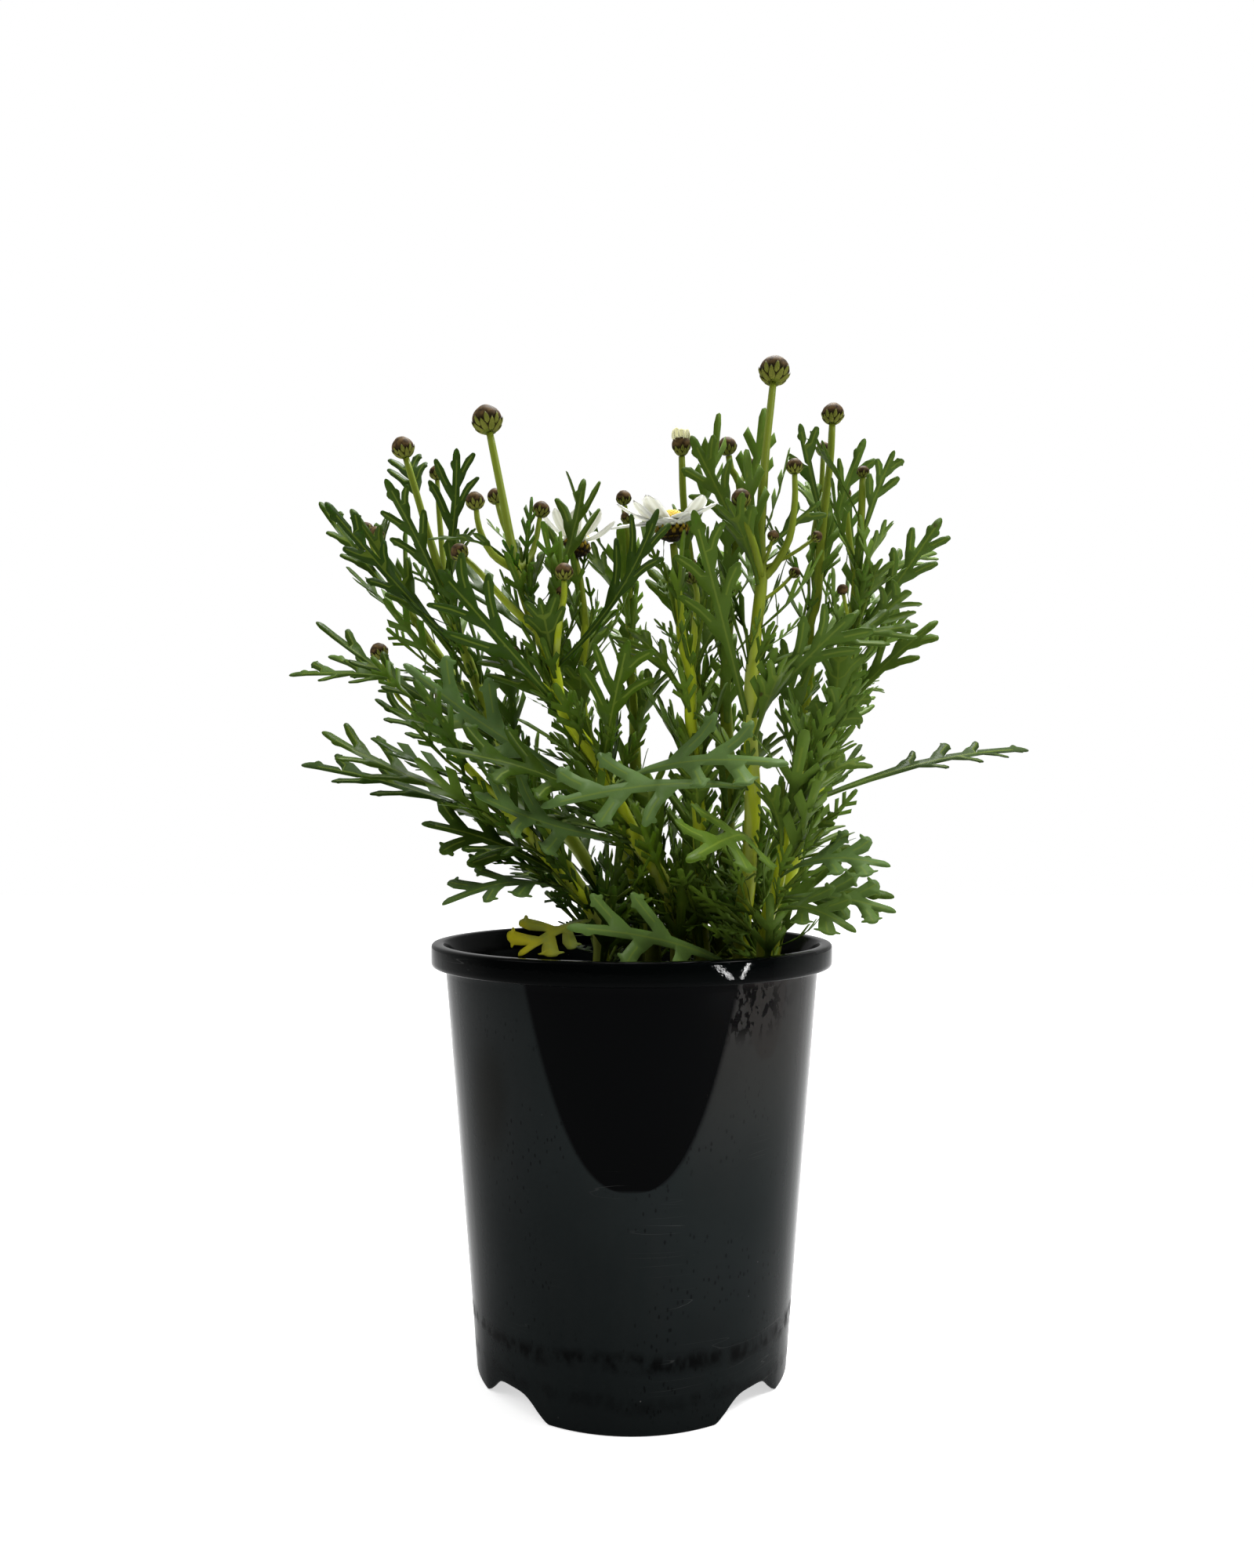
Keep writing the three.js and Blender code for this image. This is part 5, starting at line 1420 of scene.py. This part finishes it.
def guide_tree():
    """Sets a template on each point of a guide, by its out and rise directions."""
    tree, given, result = new_tree("template on guide", ("Template", "Object"), ("Seed", "Int"),
                                   ("Looseness", "Float"), ("Finish", "Material"))
    kinds = {"out": "FLOAT_VECTOR", "rise": "FLOAT_VECTOR", "size": "FLOAT"}
    out, rise, size = (plug(tree, "GeometryNodeInputNamedAttribute", {"Name": key}, data_type=kind)
                       for key, kind in kinds.items())
    turned = facing(rise, "Y", facing(out, "Z"), "Z")
    shake = dict(enumerate(random_number(-1, 1, shifted(given["Seed"], k)) for k in range(3)))
    shake = plug(tree, "ShaderNodeVectorMath", {
        0: plug(tree, "ShaderNodeCombineXYZ", shake), "Scale": given["Looseness"]}, operation="SCALE")
    turned = turned_on(turned, plug(tree, "FunctionNodeEulerToRotation", {0: shake}))
    template = plug(tree, "GeometryNodeObjectInfo", {"Object": given["Template"]}, output="Geometry")
    wanted = plug(tree, "FunctionNodeCompare", {0: size, 1: LEAST_SCALE}, operation="GREATER_THAN")
    placed = set_on_points(given["Geometry"], template, turned, size, {"Selection": wanted})
    end_tree(result, given["Finish"], placed, given["Geometry"])
    return tree


def fan_faces(ring, tip, count, below=False):
    """Faces between a ring of points and one tip above it, or below it."""
    sides = [(ring + k, ring + (k + 1) % count) for k in range(count)]
    return [(b, a, tip) if below else (a, b, tip) for a, b in sides]


def guide_mesh(name, rings, scales, foot, ahead, radius, around, ripe):
    """A smooth closed head; corners that are to carry a scale hold its size."""
    side = Vector((0.3, 0.9, 0.1)).cross(ahead).normalized()
    up = ahead.cross(side)
    line = [Vector((height, wide, 0)) for height, wide in rings]
    profile = [on_line(line, j / 3) for j in range(3 * len(rings) - 2)]
    rows, columns = len(profile), 4 * around
    guide, points, outs, rises, levels, sizes = Heap(), [], [], [], [], []
    for j, spot in enumerate(profile):
        way = profile[min(j + 1, rows - 1)] - profile[max(j - 1, 0)]
        start = 2 * (list(scales).index(j) % 2) if j in scales else None
        for k in range(columns):
            turn = 2 * pi * k / columns
            ray = side * cos(turn) + up * sin(turn)
            points.append(foot + (ahead * spot.x + ray * spot.y) * radius)
            rises.append((ahead * way.x + ray * way.y).normalized())
            outs.append((ray * way.x - ahead * way.y).normalized())
            levels.append(j / (rows - 1))
            sizes.append(radius * scales[j] if start is not None and k % 4 == start else 0.0)
    low, high = len(points), len(points) + 1
    points += [foot, foot + ahead * ((profile[-1].x + 0.1) * radius)]
    outs += [-ahead, ahead]
    rises += [side, side]
    levels += [0.0, 1.0]
    sizes += [0.0, 0.0]
    faces = [face for j in range(rows - 1) for face in ring_faces(j * columns, (j + 1) * columns, columns)]
    faces += fan_faces(0, low, columns, True) + fan_faces((rows - 1) * columns, high, columns)
    guide.add(points, faces, row=levels, size=sizes, margin=1.0, along=0.0, core=1.0, ripe=ripe)
    mesh = guide.mesh(name)
    store(mesh, "out", outs)
    store(mesh, "rise", rises)
    return mesh


template_on_guide = guide_tree()
scale = bpy.data.objects.new("scale", scale_template())
SCALE_LOOSENESS = 0.06


def scaly_head(name, rings, scales, foot, ahead, radius, around, seed, ripe=0.0, nodes=()):
    """A bud or a cup; around is how many scales stand in one row."""
    guide = guide_mesh(name, rings, scales, foot, ahead, radius, around, ripe)
    mesh = grown(name, guide, template_on_guide, {
        "Template": scale, "Seed": seed, "Looseness": SCALE_LOOSENESS, "Finish": bud_scale})
    settle(show(name + "_scales", mesh, bud_scale), "bud", *nodes)


# %% [markdown]
# Each bud sits at the end of its stem or side shoot and looks along it. The largest ones have
# eight scales in a row and the others seven.

# %% Buds
heads = []
for stem in STEMS:
    if stem["head"]:
        heads.append((*stem["head"], *head_frame(stem_points(stem))))
    for shoot in stem["shoots"]:
        heads.append((*shoot[2], *head_frame(shoot_points(stem, shoot))))
INTO_STALK, LARGE_BUD = 0.3, 3.3
for seed, (name, radius, end, ahead) in enumerate(heads):
    if radius:
        rings = OPENING if name == "bud_opening" else BUD
        around = 8 if radius > LARGE_BUD else 7
        foot = end + ahead * INTO_STALK
        scaly_head(name, rings, BUD_SCALES, foot, ahead, radius, around, seed, nodes=[name])
print("buds:", sum(1 for head in heads if head[1]))

# %% [markdown]
# Some buds are still as small as peppercorns, on thread-like stalks beside the stems. They
# are too fine for the CAD model and are added here where the photograph shows them.

# %% Peppercorn buds
PEPPERCORNS = ((-38, -34, 238), (-25, -30, 259), (61, -26, 279), (47, -28, 278), (54, -24, 267),
               (74, -12, 264))
PEPPERCORN_RADIUS, FIRST_SEED = 1.9, 50
lines = [smooth(stem_points(stem), 5) for stem in STEMS]
threads = Heap()
for k, spot in enumerate(Vector(p) for p in PEPPERCORNS):
    start = min((p for line in lines for p in line if p.z < spot.z - 8), key=lambda p: (p - spot).length)
    bend = start.lerp(spot, 0.5) + Vector((0, 0, -2))
    thread = [start.lerp(bend, t / 4).lerp(bend.lerp(spot, t / 4), t / 4) for t in range(5)]
    stalk(threads, thread, lambda t: 0.6, lambda t: 0.9, 8)
    ahead = (thread[-1] - thread[-2]).normalized()
    scaly_head(f"peppercorn_{k}", BUD, BUD_SCALES, spot, ahead, PEPPERCORN_RADIUS, 6, FIRST_SEED + k)
settle(show("peppercorn_stalks", threads.mesh("peppercorn_stalks"), stem_green), "leafy_stem")
print("peppercorn buds:", len(PEPPERCORNS))

# %% [markdown]
# Petals are white, with painted shade greying their grooves, and greenish where they leave the
# head. Those of the opening bud are cream. Some light passes through a petal, so it scatters
# under the skin.
# The florets of the middle are yellow, with painted shade darkening their foot and their mouth.

# %% Petal and floret finishes
petal_white, shader, tree = new_finish("petal_white")
# Painted shade greys the grooves; the foot is greenish and the opening bud cream.
white = coats(
    blend(ramp(number(tree, "groove"), 0.2, 0.9, 0, 0.6), (0.66, 0.66, 0.62), (0.46, 0.46, 0.40)),
    (ramp(number(tree, "along"), 0.35, 0.0, 0, 0.5), (0.50, 0.53, 0.28)),
    (number(tree, "cream"), (0.62, 0.60, 0.36)))
dress(shader, white, 0.55, (0.4, 0.0002, noise(on_object(tree), 900, 2)), glow=(0.25, (1, 1, 0.8), 0.0015))

floret_yellow, shader, tree = new_finish("floret_yellow")
yellow = blend(noise(on_object(tree), 500, 3), (0.62, 0.40, 0.012), (0.78, 0.58, 0.05))
# Painted shade at the foot and in the mouth of each floret.
yellow = blend(ramp(number(tree, "margin"), 0.6, 1.0, 0, 0.5), yellow, (0.45, 0.26, 0.01))
dress(shader, yellow, 0.6)
print("finishes:", petal_white.name, floret_yellow.name)

# %% [markdown]
# The flower heads have white strap petals with long grooves and a rounded, notched tip. Each
# petal is a small grid bent along a curve: flat where it leaves the head and rising or
# drooping by its own angle, because this flower is past its first day and its petals no
# longer lie in one plane. The yellow middle is a dome of florets set in a golden spiral, as
# on the real flower, with the same tree as the scales.

# %% Petals and florets
# A flower is the way it looks and its petals. Each petal is (turn from the front, rise,
# length, half width), as in the CAD source.
FLOWERS = {
    "front": ((-0.1, -0.2, 1), [
        (-56, 42, 14.5, 3.5), (-33, 42, 14, 3.7), (-12, 2, 13, 3.5), (18, 2, 13, 3.5),
        (44, 36, 14.5, 3.6), (68, 18, 14.5, 3.4), (98, 30, 13, 3), (126, 26, 13, 3),
        (155, 24, 12.5, 2.8), (-176, 24, 12.5, 2.9), (-147, 24, 13, 2.8), (-120, 20, 14, 2.6),
        (-105, 6, 15.5, 2.1), (-92, -4, 18, 2.1), (-78, 33, 17.5, 2.4)]),
    "back": ((0.1, 0, 1), [
        (0, 44, 14, 2.4), (38, 47, 14, 2.4), (76, 43, 14.5, 2.3), (114, 48, 14, 2.4),
        (152, 44, 13.5, 2.3), (-150, 47, 13.5, 2.4), (-112, 45, 14, 2.4), (-74, 42, 14.5, 2.4),
        (-36, 47, 14, 2.4)]),
}
HEAD_RADIUS, CUP_ROUND, CUP_SEED = 5.2, 13, 31
PETAL_RING, PLATE_RADIUS, PLATE_HEIGHT, PLATE_SIDES = 2.86, 4.6, 2.4, 24
DISC_RADIUS, FLORETS, FLORET_SIZE = 4.3, 110, 0.105


def petal(heap, foot, out, ahead, long, half, rise, chance):
    """A strap from foot, first outwards and then bent by rise degrees."""
    across = ahead.cross(out)
    steps, wide = 12, 8
    bend = radians(rise)
    far = out * (long * (0.2 + 0.8 * cos(bend))) + ahead * (0.8 * long * sin(bend))
    middle = out * (0.42 * long) + ahead * (0.12 * long * sin(bend))
    twist = 0.5 * (chance() - 0.5)
    points, grooves, alongs = [], [], []
    for side in (1, -1):
        for j in range(steps + 1):
            u = j / steps
            spine = middle * (2 * u * (1 - u)) + far * (u * u)
            way = (middle * (1 - u) + (far - middle) * u).normalized()
            over = way.cross(across) * -1
            rounding = sqrt(max(0.02, 1 - max(0, (u - 0.72) / 0.285) ** 2))
            reach = half * (0.5 + 0.5 * sin(min(1, u * 1.8) * pi / 2)) * rounding
            for k in range(wide + 1):
                w = 2 * k / wide - 1
                notch = 0.035 * long * (u ** 8) * (1 - cos(w * 3 * pi)) / 2
                valley = 0.28 * cos(w * 2.5 * pi) * sin(pi * min(1, u * 1.1))
                skin = 0 if j in (0, steps) or k in (0, wide) else side * 0.16
                height = valley + 0.10 * w * w * half + twist * w * u * half * 0.5 + skin
                points.append(foot + spine - way * notch + across * (w * reach) + over * height)
                grooves.append(0.5 + 0.5 * cos(w * 2.5 * pi + pi))
                alongs.append(u)
    heap.add(points, grid_skins(steps, wide, True), groove=grooves, along=alongs)


def floret_guide(name, foot, ahead, radius, count):
    """Points in a golden spiral over a dome, each with its directions and its size."""
    side = Vector((1, 0, 0)).cross(ahead).normalized()
    up = ahead.cross(side)
    points, outs = [], []
    for k in range(count):
        r = sqrt((k + 0.5) / count)
        ray = side * cos(k * GOLDEN_TURN) + up * sin(k * GOLDEN_TURN)
        points.append(foot + ray * (r * radius) + ahead * (0.5 * radius * (1 - r ** 2.4)))
        outs.append((ahead + ray * 0.7 * r).normalized())
    mesh = bpy.data.meshes.new(name)
    mesh.from_pydata([tuple(p * MM) for p in points], [], [])
    store(mesh, "out", outs)
    store(mesh, "rise", [up] * count)
    store(mesh, "size", [radius * FLORET_SIZE] * count)
    return mesh


def floret_template():
    """A six-sided floret as rings of (radius, height, how much painted shade darkens it)."""
    template = Heap()
    rings = ((0.55, -0.6, 1), (0.75, 0.1, 0.6), (0.95, 0.8, 0.2), (0.45, 1.05, 0), (0.2, 0.75, 1))
    points = [(r * cos(k * pi / 3), r * sin(k * pi / 3), z) for r, z, _ in rings for k in range(6)]
    last = 6 * (len(rings) - 1)
    faces = [face for low in range(0, last, 6) for face in ring_faces(low, low + 6, 6)]
    faces += [tuple(range(6))[::-1], tuple(last + k for k in range(6))]
    template.add(points, faces, margin=[dark for _, _, dark in rings for _ in range(6)])
    return template.mesh("floret")


floret = bpy.data.objects.new("floret", floret_template())


def straps(name, ring, up, petals):
    """All petals of a flower and the plate that they grow from, as one piece."""
    side = Vector((1, 0, 0)).cross(up).normalized()
    over = up.cross(side)
    heap = Heap()
    for k, (turn, rise, long, half) in enumerate(petals):
        out = side * cos(radians(turn)) + over * sin(radians(turn))
        layer = 1.1 + 1.05 * (k % 2)
        petal(heap, ring + out * PETAL_RING + up * layer, out, up, long, half, rise, chance)
    n = PLATE_SIDES
    plate = [ring + up * h + (side * cos(2 * pi * k / n) + over * sin(2 * pi * k / n)) * PLATE_RADIUS
             for h in (0, PLATE_HEIGHT) for k in range(n)]
    lids = [tuple(range(n))[::-1], tuple(range(n, 2 * n))]
    heap.add(plate, ring_faces(0, n, n) + lids, groove=0.0, along=0.0)
    return weld(heap.mesh(name))


# %% [markdown]
# A flower is put together from below: the scaly cup, the petals in two layers on a small
# plate, and the disc of florets on top. Each of the three stands for its own CAD solid.

# %% Flowers
for name, radius, end, ahead in heads:
    if radius:
        continue
    up, petals = FLOWERS[name]
    up = Vector(up).normalized()
    flower = name + "_flower"
    foot = end + ahead * 0.7
    cup = flower + "_cup"
    scaly_head(cup, CUP, CUP_SCALES, foot, up, HEAD_RADIUS, CUP_ROUND, CUP_SEED, 1.0, [cup])
    ring = foot + up * (0.95 * HEAD_RADIUS + 0.3)
    mesh = straps(flower + "_straps", ring, up, petals)
    settle(show(mesh.name, mesh, petal_white), "petals", flower + "_petals")
    guide = floret_guide(name, ring + up * 2.7, up, DISC_RADIUS, FLORETS)
    mesh = grown(flower + "_florets", guide, template_on_guide, {
        "Template": floret, "Seed": 3, "Looseness": 0.12, "Finish": floret_yellow})
    settle(show(mesh.name, mesh, floret_yellow), "disc", flower + "_disc")
    print(flower, "florets:", len(mesh.polygons), "faces")

# %% [markdown]
# One bud has begun to open and shows the tips of its petals, still upright and closed. They
# are short petals of the same kind, set in a ring inside the bud.

# %% Opening bud
_, radius, end, ahead = next(head for head in heads if head[0] == "bud_opening")
tip = end + ahead * (0.6 + 1.85 * radius)
side = Vector((1, 0, 0)).cross(ahead).normalized()
tuft, TIPS = Heap(), 11
for k in range(TIPS):
    turn, outer = k * 2 * pi / TIPS, k % 2
    out = side * cos(turn) + ahead.cross(side) * sin(turn)
    foot = tip + out * (0.7 + 0.8 * outer) - ahead * 1.8
    petal(tuft, foot, out, ahead, 5.6 + 1.0 * chance(), 1.2, 80 + 12 * outer, chance)
mesh = weld(tuft.mesh("bud_opening_tips"))
store(mesh, "cream", [1.0] * len(mesh.vertices))
settle(show(mesh.name, mesh, petal_white), "petals", "bud_opening_petals")
print("petal tips:", TIPS)

# %% [markdown]
# Potting mix is brown peat with fibres and crumbs. The photograph doesn't show it, so it is
# kept plain: it lies below the rim and is seen only from above. Its finish is two browns with
# some pale crumbs.

# %% Soil finish
peat, shader, tree = new_finish("peat")
place = on_object(tree)
grain = noise(place, 240, 5)
brown = blend(grain, (0.008, 0.005, 0.003), (0.045, 0.029, 0.018))
brown = blend(ramp(noise(place, 420, 2), 0.66, 0.72, 0, 0.6), brown, (0.12, 0.085, 0.05))
dress(shader, brown, 0.95, (0.8, 0.0008, grain))

# %% [markdown]
# The filled shape is one closed body with an uneven top, and a third geometry tree strews
# crumbs over it. Loose crumbs catch the light as a bump alone would not. The tree is meant to
# take the top alone, but more than half of the crumbs land down the side of the body, where
# the wall of the pot hides them.

# %% Soil
SOIL_HEIGHT, SOIL_FOOT, CLEARANCE = 119.6, 10.1, 0.4
SOIL_RINGS, SOIL_AROUND = 22, 64


def soil_top(x, y):
    r = hypot(x, y)
    waves = 0.7 * sin(0.31 * x + 1.2) * cos(0.27 * y) + 0.4 * sin(0.9 * x - 0.7 * y)
    return SOIL_HEIGHT - 1.4 * (r / 63) ** 4 + waves


def soil_body():
    rings, around = SOIL_RINGS, SOIL_AROUND
    inner = wall_radius(118) - WALL - CLEARANCE
    points = [(0, 0, soil_top(0, 0))]
    for j in range(1, rings + 1):
        points += [(x, y, soil_top(x, y)) for x, y in circle(0, 0, inner * j / rings, around)]
    foot_radius = wall_radius(SOIL_FOOT) - WALL - CLEARANCE
    points += [(x, y, SOIL_FOOT) for x, y in circle(0, 0, foot_radius, around)] + [(0, 0, SOIL_FOOT)]
    faces = [(0, 1 + k, 1 + (k + 1) % around) for k in range(around)]
    for j in range(rings):
        a, b = 1 + j * around, 1 + (j + 1) * around
        faces += [(a + k, b + k, b + (k + 1) % around, a + (k + 1) % around) for k in range(around)]
    faces += fan_faces(1 + rings * around, len(points) - 1, around, True)
    heap = Heap()
    heap.add(points, faces)
    return heap.mesh("soil_body")


def crumb_template():
    """A lump of two rings of six points with a tip below and above."""
    own = repeatable(5)
    lump = [Vector((cos(k * pi / 3) * (1.4 if k % 2 else 1), sin(k * pi / 3), z))
            for z in (-0.5, 0.4) for k in range(6)]
    lump = [p * (0.7 + 0.5 * own()) for p in lump] + [Vector((0, 0, -0.9)), Vector((0.2, 0, 0.8))]
    heap = Heap()
    heap.add(lump, ring_faces(0, 6, 6) + fan_faces(0, 12, 6, True) + fan_faces(6, 13, 6))
    return heap.mesh("crumb")


def crumb_tree():
    tree, given, result = new_tree(
        "crumbs", ("Crumb", "Object"), ("Crumbs per square metre", "Float"), ("Smallest", "Float"),
        ("Largest", "Float"), ("Seed", "Int"), ("Finish", "Material"))
    seed = given["Seed"]
    upward = axes(plug(tree, "GeometryNodeInputNormal"))[2]
    top = plug(tree, "FunctionNodeCompare", {0: upward, 1: 0.5}, operation="GREATER_THAN")
    spread = plug(tree, "GeometryNodeDistributePointsOnFaces", {
        "Mesh": given["Geometry"], "Selection": top, "Density": given["Crumbs per square metre"],
        "Seed": seed})
    crumb = plug(tree, "GeometryNodeObjectInfo", {"Object": given["Crumb"]}, output="Geometry")
    turned = angles(tree, {k: random_number(0, 6.28, shifted(seed, k)) for k in range(3)})
    size = random_number(given["Smallest"], given["Largest"], seed)
    end_tree(result, given["Finish"], set_on_points(spread, crumb, turned, size, {}), given["Geometry"])
    return tree


crumb = bpy.data.objects.new("crumb", crumb_template())
mesh = grown("soil_crumbs", soil_body(), crumb_tree(), {
    "Crumb": crumb, "Crumbs per square metre": 130000.0, "Smallest": 0.35, "Largest": 1.3, "Seed": 9,
    "Finish": peat})
settle(show("soil_crumbs", mesh, peat), "soil", "soil")
print("soil faces:", len(mesh.polygons))

# %% [markdown]
# The templates have done their work and go.

# %% Finish
for thing in [scale, floret, crumb, *young_leaves.objects]:
    bpy.data.objects.remove(thing)
bpy.data.collections.remove(young_leaves)
